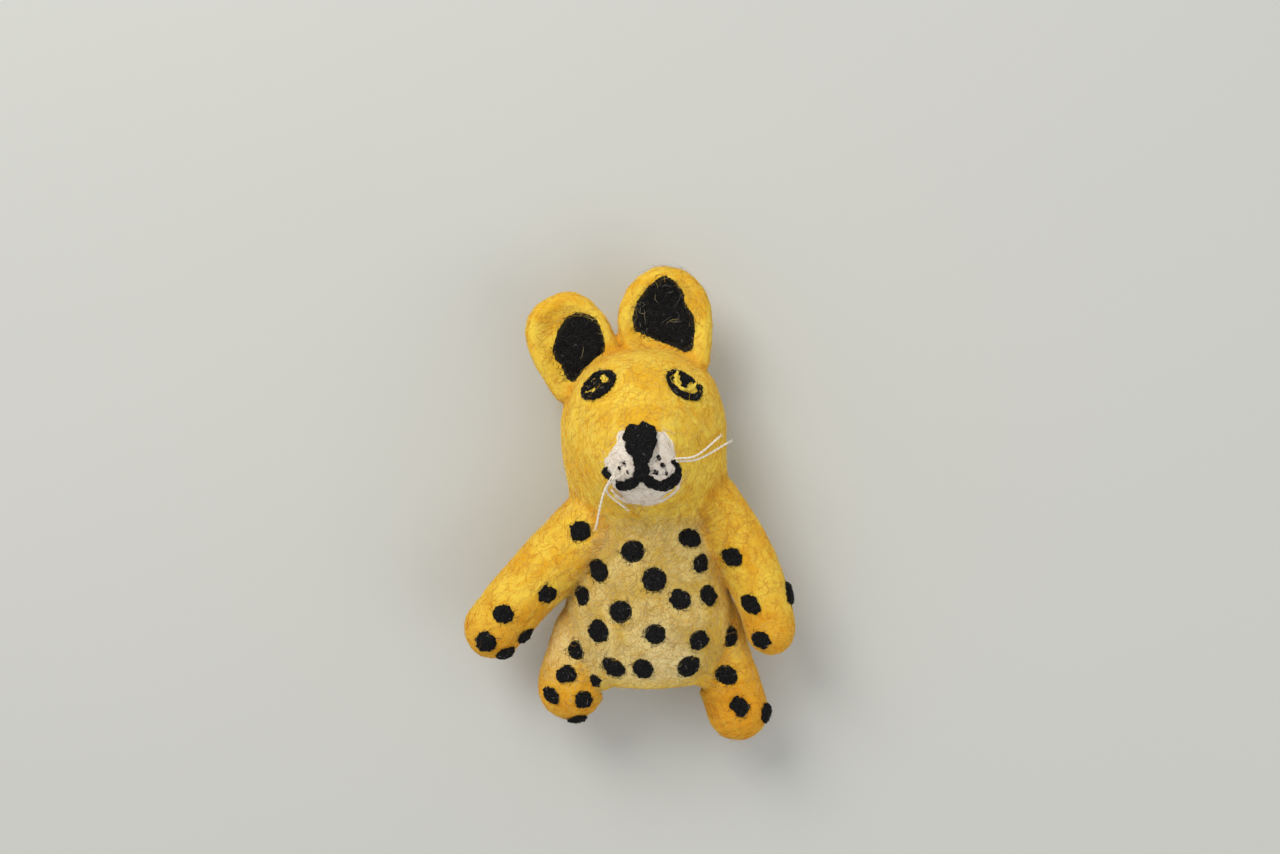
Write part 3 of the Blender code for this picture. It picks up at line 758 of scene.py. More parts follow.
@dataclass
class Fibres:
    """Laid fibres gathered into one mesh: each has five points, from one thin end to the other."""

    paths: list[list[Vector]] = field(default_factory=list)
    ways_out: list[list[Vector]] = field(default_factory=list)
    radii: list[float] = field(default_factory=list)
    dyes: list[int] = field(default_factory=list)

    STEPS: ClassVar[int] = 4
    SIDES: ClassVar[int] = 3
    TAPER: ClassVar[Span] = (0.8, 1.0, 0.65)

    def add(self, path: list[Vector], out: list[Vector], radius: float, colour: int) -> None:
        """Adds one fibre.

        Args:
            path: Its points.
            out: The way out of the felt at each.
            radius: Its radius in metres.
            colour: Its dye, as its place among the wools.
        """
        self.paths.append(path)
        self.ways_out.append(out)
        self.radii.append(radius)
        self.dyes.append(colour)

    def points(self) -> np.ndarray:
        """Lays the points of every fibre.

        Returns:
            For each fibre one end, the rings round its middle points, and the other end.
        """
        paths = np.array([[tuple(p) for p in path] for path in self.paths])
        outs = np.array([[tuple(p) for p in out] for out in self.ways_out])[:, 1:-1]
        along = paths[:, 2:] - paths[:, :-2]
        along /= np.linalg.norm(along, axis=2, keepdims=True) + NO_LENGTH
        side = np.cross(along, outs)
        side /= np.linalg.norm(side, axis=2, keepdims=True) + NO_LENGTH
        up = np.cross(side, along)
        width = np.array(self.radii)[:, None, None] * np.array(self.TAPER)[None, :, None]
        turns = [2 * math.pi * k / self.SIDES + math.pi / 2 for k in range(self.SIDES)]
        rings = [paths[:, 1:-1] + width * (math.cos(t) * side + math.sin(t) * up) for t in turns]
        ringed = np.stack(rings, axis=2).reshape(len(paths), -1, 3)
        return np.concatenate([paths[:, :1], ringed, paths[:, -1:]], axis=1)

    def faces(self) -> tuple[list[tuple[int, ...]], list[tuple[int, ...]]]:
        """Lists the faces of one fibre by the numbers of its points.

        Returns:
            The quads of its sides and the triangles of its two ends.
        """
        quads, caps = [], []
        for ring in range(self.STEPS - 2):
            for k in range(self.SIDES):
                a, b = 1 + ring * self.SIDES + k, 1 + ring * self.SIDES + (k + 1) % self.SIDES
                quads.append((a, a + self.SIDES, b + self.SIDES, b))
        last = 1 + (self.STEPS - 2) * self.SIDES
        tip = last + self.SIDES
        for k in range(self.SIDES):
            after = (k + 1) % self.SIDES
            caps += [(0, 1 + k, 1 + after), (tip, last + after, last + k)]
        return quads, caps

    def build(self, name: str) -> bpy.types.Object:
        """Makes the object: a thin closed tube for each fibre.

        Args:
            name: The object's name.

        Returns:
            The new object, its faces' material numbers set to the fibres' dyes.
        """
        points = self.points()
        quads, caps = self.faces()
        starts = (np.arange(len(points)) * points.shape[1])[:, None, None]
        faces = (starts + np.array(quads)[None]).reshape(-1, 4).tolist()
        faces += (starts + np.array(caps)[None]).reshape(-1, 3).tolist()
        mesh = bpy.data.meshes.new(name)
        mesh.from_pydata(points.reshape(-1, 3).tolist(), [], faces)
        colours = np.array(self.dyes)
        slots = np.concatenate([np.repeat(colours, len(quads)), np.repeat(colours, len(caps))])
        mesh.polygons.foreach_set("material_index", slots.astype(np.int32))
        mesh.shade_smooth()
        mesh.update()
        made = bpy.data.objects.new(name, mesh)
        bpy.context.scene.collection.objects.link(made)
        return made


@dataclass(frozen=True)
class Lay:
    """How fibres lie on felt.

    Lengths are in metres. A fibre turns by up to curl radians at each step, and by a share of that
    more at random. Its ends dip under the felt and its middle arches off it, but a free one has an
    end that stands off, with its inner points raised by shares of that. Arch and stand vary from
    their least share to the whole, and thickness between two shares of the radius. No point lies
    lower than the ground.
    """

    shortest: float
    longest: float
    radius: float
    arch: float = 0.00012
    dip: float = 0.00008
    curl: float = 0.7
    shake: float = 0.3
    free: float = 0.12
    stand: float = 0.0006
    raised: tuple[float, float] = (0.15, 0.5)
    ground: float = 0.00006
    least: float = 0.3
    thickness: tuple[float, float] = (0.7, 1.3)

    def walk(self, felt: Felt, start: Vector, heading: Vector, rng: np.random.Generator
             ) -> tuple[list[Vector], list[Vector], int]:
        """Walks a fibre over the felt.

        Args:
            felt: The felt.
            start: Where it starts.
            heading: Its first direction.
            rng: The layer's own random numbers.

        Returns:
            The fibre's points, the way out of the felt at each, and the face at its middle.
        """
        step = rng.uniform(self.shortest, self.longest) / Fibres.STEPS
        bend = rng.uniform(-self.curl, self.curl)
        place, out, face, _ = felt.tree.find_nearest(start)
        middle, feet, ways = face, [place], [out]
        for index in range(Fibres.STEPS):
            heading = heading - heading.dot(out) * out
            if heading.length < LEAST_HEADING:
                heading = out.orthogonal()
            heading = heading.normalized()
            place, out, face, _ = felt.tree.find_nearest(place + heading * step)
            turn = bend + rng.uniform(-self.shake, self.shake) * self.curl
            heading = Matrix.Rotation(turn, 3, out) @ heading
            middle = face if index == 1 else middle
            feet.append(place)
            ways.append(out)
        arch, loose = self.arch * rng.uniform(self.least, 1.0), rng.random() < self.free
        stand = self.stand * rng.uniform(self.least, 1.0) if loose else 0.0
        heights = [-self.dip, arch, arch + self.raised[0] * stand, arch + self.raised[1] * stand,
                   stand if loose else -self.dip]
        path = []
        for foot, way, height in zip(feet, ways, heights):
            point = foot + way * height
            point.z = max(point.z, self.ground)
            path.append(point)
        return path, ways, middle


# Spots of the back


SPOT_RADIUS = 2.1 * MM
BACK_REST_HEIGHT = 36.0 * MM
SLEEVE_MIDDLE_X = 0.2 * MM
# Sections of the sleeve: height above the hem, half width, half depth and Z of the middle
SLEEVE_SECTIONS = np.array((
    (0.0, 15.5, 12.25, 11.45), (12.0, 17.25, 13.75, 12.95), (25.5, 15.3, 13.25, 12.45),
    (36.5, 15.75, 12.5, 11.7), (50.0, 16.5, 14.5, 13.7), (55.0, 16.2, 14.2, 13.7),
    (60.0, 14.9, 13.1, 13.7),
)) * MM
# Raised spots of the back: height above the hem and turn from +X to the front, as in the model
RAISED_SPOTS = (
    (0.0570, 203), (0.0550, 228), (0.0580, 337), (0.0555, 312), (0.0480, 214), (0.0480, 326),
    (0.0400, 226), (0.0385, 312), (0.0320, 226), (0.0310, 314), (0.0240, 232), (0.0225, 310),
    (0.0160, 237), (0.0145, 304), (0.0080, 237), (0.0065, 304),
)
# Raised spots under the limbs, as in the model
LIMB_BACK_SPOTS = (
    (-0.0215, -0.0115, 0.0094), (-0.0295, -0.0225, 0.0095), (0.0210, -0.0105, 0.0115),
    (0.0246, -0.0220, 0.0123), (-0.0156, -0.0360, 0.0069), (0.0170, -0.0375, 0.0064),
)
# Flush spots on the flat that the puppet lies on: X and height above the hem
FLAT_SPOTS = (
    (0.0022, 0.0520), (-0.0040, 0.0440), (0.0036, 0.0400), (-0.0024, 0.0350), (0.0030, 0.0290),
    (-0.0030, 0.0240), (0.0028, 0.0185), (-0.0022, 0.0130), (0.0020, 0.0070),
)


def back_spots() -> list[Vector]:
    """Finds every spot that has no solid of its own.

    Returns:
        Places at or near the felt.
    """
    places = [Vector(spot) for spot in LIMB_BACK_SPOTS]
    places += [Vector((x, height - BACK_REST_HEIGHT, 0.0)) for x, height in FLAT_SPOTS]
    for height, turn_deg in RAISED_SPOTS:
        half_width, half_depth, middle_z = (
            float(np.interp(height, SLEEVE_SECTIONS[:, 0], SLEEVE_SECTIONS[:, column]))
            for column in (1, 2, 3)
        )
        turn = math.radians(turn_deg)
        x = SLEEVE_MIDDLE_X + half_width * math.cos(turn)
        z = middle_z + half_depth * math.sin(turn)
        places.append(Vector((x, height - BACK_REST_HEIGHT, z)))
    return places


# Felt skin


MUZZLE_TOP = 19.3 * MM
# Rows of the limbs and ears among the solids of the skin
ARMS, LEGS, EARS = slice(1, 3), slice(3, 5), slice(5, 7)


@dataclass
class Skin:
    """The felt of sleeve, limbs and ears as one skin, which closes the seats between them.

    Lengths are in metres. A fade or reach of two numbers is where a change starts and where it is
    full, and a limb's orange has its own least and what painted shade adds towards its lower end,
    on the legs partly their own ochre too. The core of a crease, and the reach of the darker orange
    painted there as shade, are counted in crease_reach.
    """

    frame: dict
    sleeve: str = "body_sleeve"
    limbs: tuple[str, ...] = ("arm_left", "arm_right", "leg_left", "leg_right")
    ears: tuple[str, ...] = ("ear_left", "ear_right")
    voxel: float = 0.45 * MM
    seat_swell: float = 0.38 * MM
    ear_swell: float = 0.30 * MM
    limb_press: float = 0.10 * MM
    seat_reach: tuple[float, float] = (0.8 * MM, 3.5 * MM)
    crease_reach: float = 1.6 * MM
    crease_core: float = 0.3
    large_lumps: tuple[float, float, int] = (5.5 * MM, 0.46 * MM, 1)
    small_lumps: tuple[float, float, int] = (2.2 * MM, 0.09 * MM, 2)
    far: float = 0.02
    touch: float = 0.0008
    floor: float = 0.00005
    hem: float = -36.0 * MM
    hem_reach: float = 6.0 * MM
    hem_lift: float = 1.3 * MM
    hem_front: tuple[float, float] = (8 * MM, 16 * MM)
    hem_clear: tuple[float, float] = (0.5 * MM, 4 * MM)
    belly_top: float = 3.0 * MM
    belly_fade: float = 9.0 * MM
    belly_blur: float = 0.35
    belly_right: float = 0.45
    belly_on_limb: float = 0.6
    belly_by_arm: float = 0.004
    leg_fade: tuple[float, float] = (-27.0 * MM, -41.0 * MM)
    side_fade: tuple[float, float] = (2.0 * MM, 9.0 * MM)
    right_fade: tuple[float, float] = (5.0 * MM, 15.0 * MM)
    # Painted shade: darker orange in creases, fading out over their reach
    crease_painted_shade: float = 0.65
    crease_shade_reach: float = 2.4
    # The limbs' own orange, and painted shade that darkens it towards their lower ends; on the legs
    # partly their own ochre too
    arm_orange_and_shade: tuple[float, float] = (0.42, 0.40)
    arm_shaded_end: tuple[float, float] = (14 * MM, 27 * MM)
    leg_orange_and_shade: tuple[float, float] = (0.55, 0.45)
    leg_shaded_end: tuple[float, float] = (28 * MM, 46 * MM)
    ear_deep: float = 0.32
    tuft_stain: tuple[float, float] = (0.25 * MM, 0.65 * MM)
    spot_stain: tuple[float, float] = (-0.25 * MM, 0.30 * MM)
    muzzle_stain: tuple[float, float] = (0.1 * MM, 0.7 * MM)
    muzzle_fade: float = 0.6 * MM
    pocket_middle: tuple[float, float] = (0.0002, 0.0123)
    pocket_half: tuple[float, float] = (9.8 * MM, 8.8 * MM)
    pocket_top: float = 17.0 * MM

    def build(self) -> Felt:
        """Makes the skin and marks the wool's colours on it.

        Returns:
            The felt, ready for fibres.
        """
        parts = [copy_nodes(self.frame, "felt_skin", [self.sleeve])]
        sleeve = tree_of(parts[0])
        for node in self.limbs:
            parts.append(self.seated_limb(node, sleeve))
        for node in self.ears:
            parts.append(copy_nodes(self.frame, "felt_part", [node]))
            swell(parts[-1], self.ear_swell)
        trees = [tree_of(part) for part in parts]
        skin = join(parts)
        skin.name = "felt_skin"
        remesh(skin, self.voxel)
        relax(skin, times=2)
        near = self.nearness(skin, trees)
        self.mark_creases(skin, near)
        relax(skin, times=14, group="creases", factor=0.7)
        self.lift_hem(skin, near)
        roughen(skin, *self.large_lumps)
        roughen(skin, *self.small_lumps)
        self.press_on_floor(skin)
        self.mark_colours(skin, trees)
        finish_piece(skin, (self.sleeve, *self.limbs, *self.ears),
                     [FeltFinish().material()])
        return Felt(skin)

    def seated_limb(self, node: str, sleeve: BVHTree) -> bpy.types.Object:
        """Makes a limb that swells into the sleeve at its seat and is pressed in elsewhere.

        Args:
            node: The limb's node.
            sleeve: The surface of the sleeve.

        Returns:
            The limb.
        """
        limb = copy_nodes(self.frame, "felt_part", [node])
        apart = np.array([sleeve.find_nearest(vert.co)[3] for vert in limb.data.vertices])
        weigh_points(limb, "seat", 1 - ease(apart, *self.seat_reach))
        swell(limb, -self.limb_press)
        swell(limb, self.seat_swell + self.limb_press, "seat")
        return limb

    def nearness(self, skin: bpy.types.Object, trees: Sequence[BVHTree]) -> np.ndarray:
        """Measures how far each point of the skin is from each solid.

        Args:
            skin: The skin.
            trees: The surfaces of the solids.

        Returns:
            Distances, one row a solid.
        """
        rows = []
        for tree in trees:
            rows.append([tree.find_nearest(vert.co, self.far)[3] or self.far
                         for vert in skin.data.vertices])
        return np.array(rows)

    def mark_creases(self, skin: bpy.types.Object, near: np.ndarray) -> None:
        """Gathers the points where two solids meet into a vertex group.

        Args:
            skin: The skin.
            near: Its distances from the solids.
        """
        second = np.sort(near, axis=0)[1]
        core = self.crease_core * self.crease_reach
        weigh_points(skin, "creases", 1 - ease(second, core, self.crease_reach))

    def lift_hem(self, skin: bpy.types.Object, near: np.ndarray) -> None:
        """Draws the front of the hem up a little between the legs.

        Args:
            skin: The skin.
            near: Its distances from the solids.
        """
        points = points_of(skin)
        front = ease(points[:, 2], *self.hem_front)
        low = 1 - ease(points[:, 1], self.hem, self.hem + self.hem_reach)
        clear = ease(near[LEGS].min(axis=0), *self.hem_clear)
        points[:, 1] += self.hem_lift * front * low * clear
        set_points(skin, points)

    def press_on_floor(self, skin: bpy.types.Object) -> None:
        """Keeps the back in the plane that the puppet lies on.

        Args:
            skin: The skin.
        """
        points = points_of(skin)
        points[:, 2] = np.maximum(points[:, 2], self.floor)
        set_points(skin, points)

    def mark_colours(self, skin: bpy.types.Object, trees: Sequence[BVHTree]) -> None:
        """Writes where the skin is tan, orange (with painted shade in creases and at the limbs'
        ends), black and white as point attributes.

        Args:
            skin: The skin.
            trees: The surfaces of its solids.
        """
        points = points_of(skin)
        near = self.nearness(skin, trees)
        second = np.sort(near, axis=0)[1]
        arms, legs, ears = (near[rows].min(axis=0) < self.touch for rows in (ARMS, LEGS, EARS))
        write_values(skin, Place.BELLY, self.belly(points, second, arms, legs))
        write_values(skin, Place.ORANGE_AND_SHADE, self.orange_and_shade(points[:, 1], second, arms, legs, ears))
        write_values(skin, Place.BLACKENED, self.black_stain(skin, points))
        muzzle = tree_of(self.frame["nodes"]["muzzle"])
        white = self.stain_near(skin, muzzle, *self.muzzle_stain)
        white *= 1 - ease(points[:, 1], MUZZLE_TOP - self.muzzle_fade, MUZZLE_TOP)
        write_values(skin, Place.WHITENED, white)

    def belly(self, points: np.ndarray, second: np.ndarray, arms: np.ndarray,
              legs: np.ndarray) -> np.ndarray:
        """How tan each point is.

        Args:
            points: The skin's points.
            second: Their distances from the second nearest solid.
            arms: Which of them lie on an arm.
            legs: Which lie on a leg.

        Returns:
            One value a point, 0 to 1.
        """
        x, y, z = points.T
        full = self.belly_top - self.belly_fade
        none = self.belly_top + self.belly_blur * self.belly_fade
        belly = 1 - ease(y, full, none)
        belly *= ease(z, *self.side_fade)
        belly *= 1 - ease(-y, -self.leg_fade[0], -self.leg_fade[1])
        belly *= 1 - self.belly_right * ease(x, *self.right_fade)
        belly = np.where(legs, belly * self.belly_on_limb, belly)
        by_arm = ease(second, self.belly_by_arm, 0.0)
        return np.where(arms, belly * by_arm * self.belly_on_limb, belly)

    def orange_and_shade(self, y: np.ndarray, second: np.ndarray, arms: np.ndarray, legs: np.ndarray,
             ears: np.ndarray) -> np.ndarray:
        """How orange each point is: the limbs' and ears' own orange, with painted shade of darker
        orange in creases and towards the limbs' lower ends.

        Args:
            y: The Y of the skin's points.
            second: Their distances from the second nearest solid.
            arms: Which of them lie on an arm.
            legs: Which lie on a leg.
            ears: Which lie on an ear.

        Returns:
            One value a point, 0 to 1.
        """
        # Painted shade: darker orange where two solids meet in a crease
        reach = self.crease_shade_reach * self.crease_reach
        orange_and_shade = self.crease_painted_shade * (1 - ease(second, 0.0, reach))
        # Painted shade: darker orange towards the lower ends of arms and legs, added to their own
        # orange; on the legs partly their own ochre
        arm = self.arm_orange_and_shade[0] + self.arm_orange_and_shade[1] * ease(-y, *self.arm_shaded_end)
        leg = self.leg_orange_and_shade[0] + self.leg_orange_and_shade[1] * ease(-y, *self.leg_shaded_end)
        for on, least in ((arms, arm), (ears, self.ear_deep), (legs, leg)):
            orange_and_shade = np.where(on, np.maximum(orange_and_shade, least), orange_and_shade)
        return orange_and_shade

    def stain_near(self, skin: bpy.types.Object, tree: BVHTree, full: float,
                   none: float) -> np.ndarray:
        """How much each point is stained by wool laid near it.

        Args:
            skin: The skin.
            tree: The surface of the wool.
            full: Distance up to which the stain is full.
            none: Distance from which there is none.

        Returns:
            One value a point, 0 to 1.
        """
        apart = [tree.find_nearest(vert.co, none)[3] for vert in skin.data.vertices]
        return 1 - ease(np.array([none if d is None else d for d in apart]), full, none)

    def black_stain(self, skin: bpy.types.Object, points: np.ndarray) -> np.ndarray:
        """Black wool under the tufts, in the raised spots of the back and on its flat.

        Args:
            skin: The skin.
            points: Its points.

        Returns:
            One value a point, 0 to 1.
        """
        stain = np.zeros(len(points))
        for name, node in self.frame["nodes"].items():
            if "_spot_" in name or "lining" in name:
                stain = np.maximum(stain, self.stain_near(skin, tree_of(node), *self.tuft_stain))
        tree = tree_of(skin)
        for place in back_spots():
            middle = np.array(tree.find_nearest(place)[0])
            apart = np.linalg.norm(points - middle, axis=1) - SPOT_RADIUS
            stain = np.maximum(stain, 1 - ease(apart, *self.spot_stain))
        return stain

    def in_pocket(self, places: np.ndarray) -> np.ndarray:
        """Finds which places lie in the finger's pocket.

        Args:
            places: Rows of x, y, z.

        Returns:
            True for each place inside.
        """
        x, z = places[:, 0] - self.pocket_middle[0], places[:, 2] - self.pocket_middle[1]
        inside = (x / self.pocket_half[0]) ** 2 + (z / self.pocket_half[1]) ** 2 < 1
        return inside & (places[:, 1] < self.pocket_top)


# Tufts


@dataclass(frozen=True)
class Strand:
    """A strand of wool needled onto what lies under it.

    Its route is (x, y, radius) knots in millimetres, seen from the front and counted from a middle.
    It is laid from SKY, a height in metres, and sunk by a share of its radius.
    """

    route: tuple[tuple[float, float, float], ...]
    middle: tuple[float, float] = (-1.4, 11.9)
    sunk: float = 0.05
    points: int = 16

    SKY: ClassVar[float] = 0.06

    def land(self, grounds: Sequence[BVHTree], x: float, y: float) -> tuple[Vector, Vector]:
        """Finds the highest of the grounds at a place.

        Args:
            grounds: The surfaces.
            x: The place's X in metres.
            y: Its Y.

        Returns:
            The point on the ground, and the way out of it.
        """
        found = []
        for ground in grounds:
            place, out, _, _ = ground.ray_cast(Vector((x, y, self.SKY)), Vector((0, 0, -1)))
            if place is not None:
                found.append((place.z, place, out))
        _, place, out = max(found, key=lambda hit: hit[0])
        return place, out

    def build(self, grounds: Sequence[BVHTree]) -> bpy.types.Object:
        """Makes the strand, partly sunk into the ground.

        Args:
            grounds: The surfaces that it may lie on.

        Returns:
            One closed mesh.
        """
        line = smooth_line(np.array(self.route), self.points)
        widest = line[:, 2].max()
        places = []
        for x, y, radius in line:
            place, out = self.land(grounds, (self.middle[0] + x) * MM, (self.middle[1] + y) * MM)
            places.append(place - out * radius * self.sunk * MM)
        return thread_mesh("strand", [np.array(places)], widest * MM, line[:, 2] / widest)


@dataclass
class Tuft:
    """Matted wool that lies on the felt, made from the model's solids and strands.

    Lengths are in metres. The solids are plumped, sunk into the felt and cut at a top Y. The
    wool gets lumps of a size and height, and its outline is pulled about by ragged, in coarse pulls
    and in finer, weaker ones.
    """

    frame: dict
    name: str
    nodes: tuple[str, ...]
    finish: TuftFinish = BLACK_TUFT
    voxel: float = 0.22 * MM
    sink: float = 0.30 * MM
    lump: float = 0.9 * MM
    height: float = 0.30 * MM
    ragged: float = 0.55 * MM
    strands: tuple[Strand, ...] = ()
    top: float = 1.0
    plump: float = 0.0
    finer: float = 0.4
    weaker: float = 0.5

    def build(self, felt: Felt, grounds: Sequence[BVHTree] = ()) -> bpy.types.Object:
        """Makes the wool, sunk a little into the felt that carries it, with ragged edges.

        Args:
            felt: The felt.
            grounds: What the strands are laid on.

        Returns:
            The finished piece.
        """
        solids = []
        if self.nodes:
            solids.append(copy_nodes(self.frame, self.name, self.nodes))
            if self.plump:
                swell(solids[0], self.plump)
            sunk = [point - np.array(felt.tree.find_nearest(Vector(point))[1]) * self.sink
                    for point in points_of(solids[0])]
            sunk = np.array(sunk)
            sunk[:, 1] = np.minimum(sunk[:, 1], self.top)
            set_points(solids[0], sunk)
        solids += [strand.build(grounds) for strand in self.strands]
        piece = join(solids)
        piece.name = self.name
        remesh(piece, self.voxel)
        relax(piece, times=2)
        self.fray(piece, felt)
        roughen(piece, self.lump, self.height)
        write_values(piece, self.finish.stain, np.ones(len(piece.data.vertices)))
        finish_piece(piece, self.nodes, [self.finish.material()])
        return piece

    def fray(self, piece: bpy.types.Object, felt: Felt) -> None:
        """Pulls the tuft's outline about, along the felt only.

        Args:
            piece: The tuft.
            felt: The felt that carries it.
        """
        points = points_of(piece)
        for index, point in enumerate(points):
            place = Vector(point)
            out = felt.tree.find_nearest(place)[1]
            pull = (noise.noise_vector(place / self.lump)
                    + self.weaker * noise.noise_vector(place / (self.finer * self.lump)))
            points[index] = place + self.ragged * (pull - pull.dot(out) * out)
        set_points(piece, points)


# Strands over the solids of the face, from the middle of the muzzle
CHIN = (
    Strand(((-5.6, -4.4, 0.40), (-5.0, -5.8, 0.60), (-3.6, -6.6, 0.75), (-1.2, -7.2, 0.85),
            (1.6, -7.3, 0.85), (4.2, -6.7, 0.75), (6.2, -5.0, 0.60), (7.3, -2.7, 0.50),
            (7.5, -0.6, 0.35)), sunk=0.55, points=30),
)
CURLS = {
    "right": (
        Strand(((0.1, 0.6, 0.8), (-0.5, -0.8, 0.85), (-1.2, -2.0, 0.95), (-2.3, -2.9, 1.05),
                (-3.6, -3.1, 1.1), (-4.4, -2.8, 0.8))),
        Strand(((-6.9, -0.8, 0.95), (-6.2, -1.0, 1.05))),
    ),
    "left": (
        Strand(((0.1, 0.4, 0.8), (0.7, -0.9, 0.9), (1.3, -1.8, 1.0), (2.2, -2.6, 1.1),
                (3.5, -2.9, 1.2), (5.0, -2.6, 1.1), (6.2, -1.5, 1.0), (6.7, -0.1, 0.85),
                (6.4, 1.1, 0.6), (5.6, 1.6, 0.3))),
    ),
}
FLECKS = (
    Strand(((3.1, 3.0, 0.40), (3.6, 2.2, 0.45)), sunk=0.3),
    Strand(((3.7, 1.5, 0.50), (4.3, 0.8, 0.45)), sunk=0.3),
    Strand(((2.3, -0.1, 0.50), (3.1, -0.5, 0.60)), sunk=0.4),
    Strand(((4.6, -0.2, 0.3), (5.0, -0.8, 0.3)), sunk=0.3),
    Strand(((-3.4, 1.7, 0.35), (-2.9, 1.2, 0.40)), sunk=0.3),
    Strand(((-2.7, 0.1, 0.38), (-2.4, -0.4, 0.42)), sunk=0.4),
    Strand(((-4.4, 0.6, 0.35), (-3.9, 0.2, 0.38)), sunk=0.3),
)
EYE_SCRIBBLES = {
    "right": (
        Strand(((-11.2, 12.4, 0.45), (-9.8, 12.8, 0.55), (-8.3, 13.3, 0.6), (-6.8, 14.1, 0.55),
                (-5.4, 15.2, 0.45))),
        Strand(((-11.1, 13.3, 0.45), (-10.0, 15.1, 0.5), (-8.8, 16.4, 0.5), (-7.6, 16.9, 0.42),
                (-6.0, 16.8, 0.45))),
        Strand(((-10.2, 13.6, 0.34), (-9.2, 14.2, 0.40), (-8.2, 14.9, 0.34))),
        Strand(((-9.5, 15.5, 0.3), (-8.8, 14.8, 0.34), (-8.5, 13.9, 0.3))),
        Strand(((-8.0, 14.6, 0.36), (-7.0, 14.8, 0.40), (-5.9, 15.3, 0.36))),
        Strand(((-10.6, 13.4, 0.6), (-9.6, 14.6, 0.7), (-8.4, 15.6, 0.75), (-8.0, 16.3, 0.5)),
               sunk=0.5),
        Strand(((-8.2, 14.0, 0.5), (-7.2, 14.5, 0.55), (-6.1, 15.3, 0.6), (-5.6, 16.1, 0.5)),
               sunk=0.4),
        Strand(((-8.3, 16.2, 0.4), (-7.1, 16.8, 0.4), (-5.8, 16.4, 0.4)), sunk=0.2),
        Strand(((-6.5, 16.8, 0.5), (-6.0, 16.3, 0.55), (-5.9, 15.6, 0.45)), sunk=0.3),
        Strand(((-8.7, 15.7, 0.45), (-8.0, 15.0, 0.5), (-7.1, 14.8, 0.45)), sunk=0.3),
    ),
    "left": (
        Strand(((11.5, 14.2, 0.5), (11.3, 12.9, 0.65), (10.2, 12.4, 0.75), (8.9, 12.8, 0.65),
                (7.5, 13.5, 0.55), (6.3, 14.5, 0.5), (5.3, 15.6, 0.4))),
        Strand(((7.9, 15.2, 0.70), (8.3, 15.45, 1.10), (8.8, 15.75, 1.10), (9.3, 15.9, 0.70)),
               sunk=0.2, points=6),
        Strand(((5.1, 16.3, 0.4), (5.8, 17.1, 0.45), (6.7, 17.2, 0.38), (7.8, 16.9, 0.3))),
        Strand(((5.6, 15.6, 0.3), (6.3, 16.2, 0.32))),
    ),
}
EYE_LIGHTS = {
    "right": (
        Strand(((-7.15, 16.1, 0.46), (-7.0, 15.5, 0.44)), sunk=0.3),
        Strand(((-9.4, 13.4, 0.26), (-8.8, 13.8, 0.24)), sunk=0.2),
    ),
    "left": (
        Strand(((7.1, 17.3, 0.35), (6.7, 16.4, 0.48), (6.8, 15.2, 0.48), (7.8, 14.2, 0.46),
                (9.3, 13.8, 0.46), (10.4, 14.4, 0.40), (10.6, 15.2, 0.28)), sunk=0.2),
    ),
}
# A white strand that parts the mouth's curl from the dot at its corner
MOUTH_LIGHT = (
    Strand(((-4.7, -0.6, 0.30), (-5.15, -1.7, 0.38), (-5.15, -2.7, 0.38), (-4.7, -3.7, 0.30))),
)
# More spot wool than the solids have, from the origin: a small spot where the hem meets the leg,
# and the wide side of a spot on the chest
SPOT_STRANDS = {
    "leg_right": (Strand(((-11.5, -32.7, 1.1), (-10.4, -33.3, 1.7), (-9.2, -33.8, 1.1)),
                         middle=(0.0, 0.0), sunk=0.45, points=3),),
    "body": (Strand(((8.7, -9.1, 1.0), (9.7, -9.2, 1.65), (10.8, -9.3, 1.5)),
                    middle=(0.0, 0.0), sunk=0.45, points=3),),
}
SPOT_SINK = 0.27 * MM
# How far the spots of a limb are plumped
PLUMP = {"arm_left": 0.20 * MM, "arm_right": 0.20 * MM, "leg_left": 0.15 * MM}


def black_tufts(frame: dict) -> list[Tuft]:
    """Lists the black tufts that follow the model's solids.


    Returns:
        Spots, ear linings, mouth, eyes, nose and flecks, in the order in which they are made.
    """
    tufts = []
    for carrier in ("body", "arm_left", "arm_right", "leg_left", "leg_right"):
        nodes = sorted(name for name in frame["nodes"] if name.startswith(carrier + "_spot_"))
        plump = PLUMP.get(carrier, 0.0)
        tufts.append(Tuft(frame, f"{carrier}_spot_wool", tuple(nodes), sink=SPOT_SINK + plump,
                          plump=plump, strands=SPOT_STRANDS.get(carrier, ())))
    for side in ("left", "right"):
        tufts += [
            Tuft(frame, f"ear_lining_wool_{side}", (f"ear_lining_{side}",), lump=1.5 * MM,
                 height=0.45 * MM, ragged=0.7 * MM),
            Tuft(frame, f"mouth_wool_{side}", (f"mouth_{side}",), voxel=0.16 * MM,
                 sink=0.25 * MM, ragged=0.35 * MM, strands=CURLS[side]),
            Tuft(frame, f"eye_wool_{side}", (f"eye_outline_{side}", f"pupil_{side}"),
                 voxel=0.13 * MM, sink=0.42 * MM, lump=0.6 * MM, height=0.26 * MM,
                 ragged=0.25 * MM, strands=EYE_SCRIBBLES[side]),
        ]
    return tufts + [
        Tuft(frame, "nose_wool", ("nose",), sink=0.15 * MM, lump=1.4 * MM, height=0.4 * MM),
        Tuft(frame, "muzzle_flecks", (), voxel=0.13 * MM, lump=0.6 * MM, height=0.2 * MM,
             ragged=0.25 * MM, strands=FLECKS),
    ]


def light_tuft(frame: dict, name: str, finish: TuftFinish, ragged: float,
               strands: tuple[Strand, ...]) -> Tuft:
    """Describes a thin light strand over the black of the face.

    Args:
        name: The piece's name.
        finish: Its wool.
        ragged: How far its outline is pulled about, in metres.
        strands: Its strands.

    Returns:
        The tuft, not built yet.
    """
    return Tuft(frame, name, (), finish, voxel=0.12 * MM, lump=0.6 * MM, height=0.12 * MM,
                ragged=ragged, strands=strands)


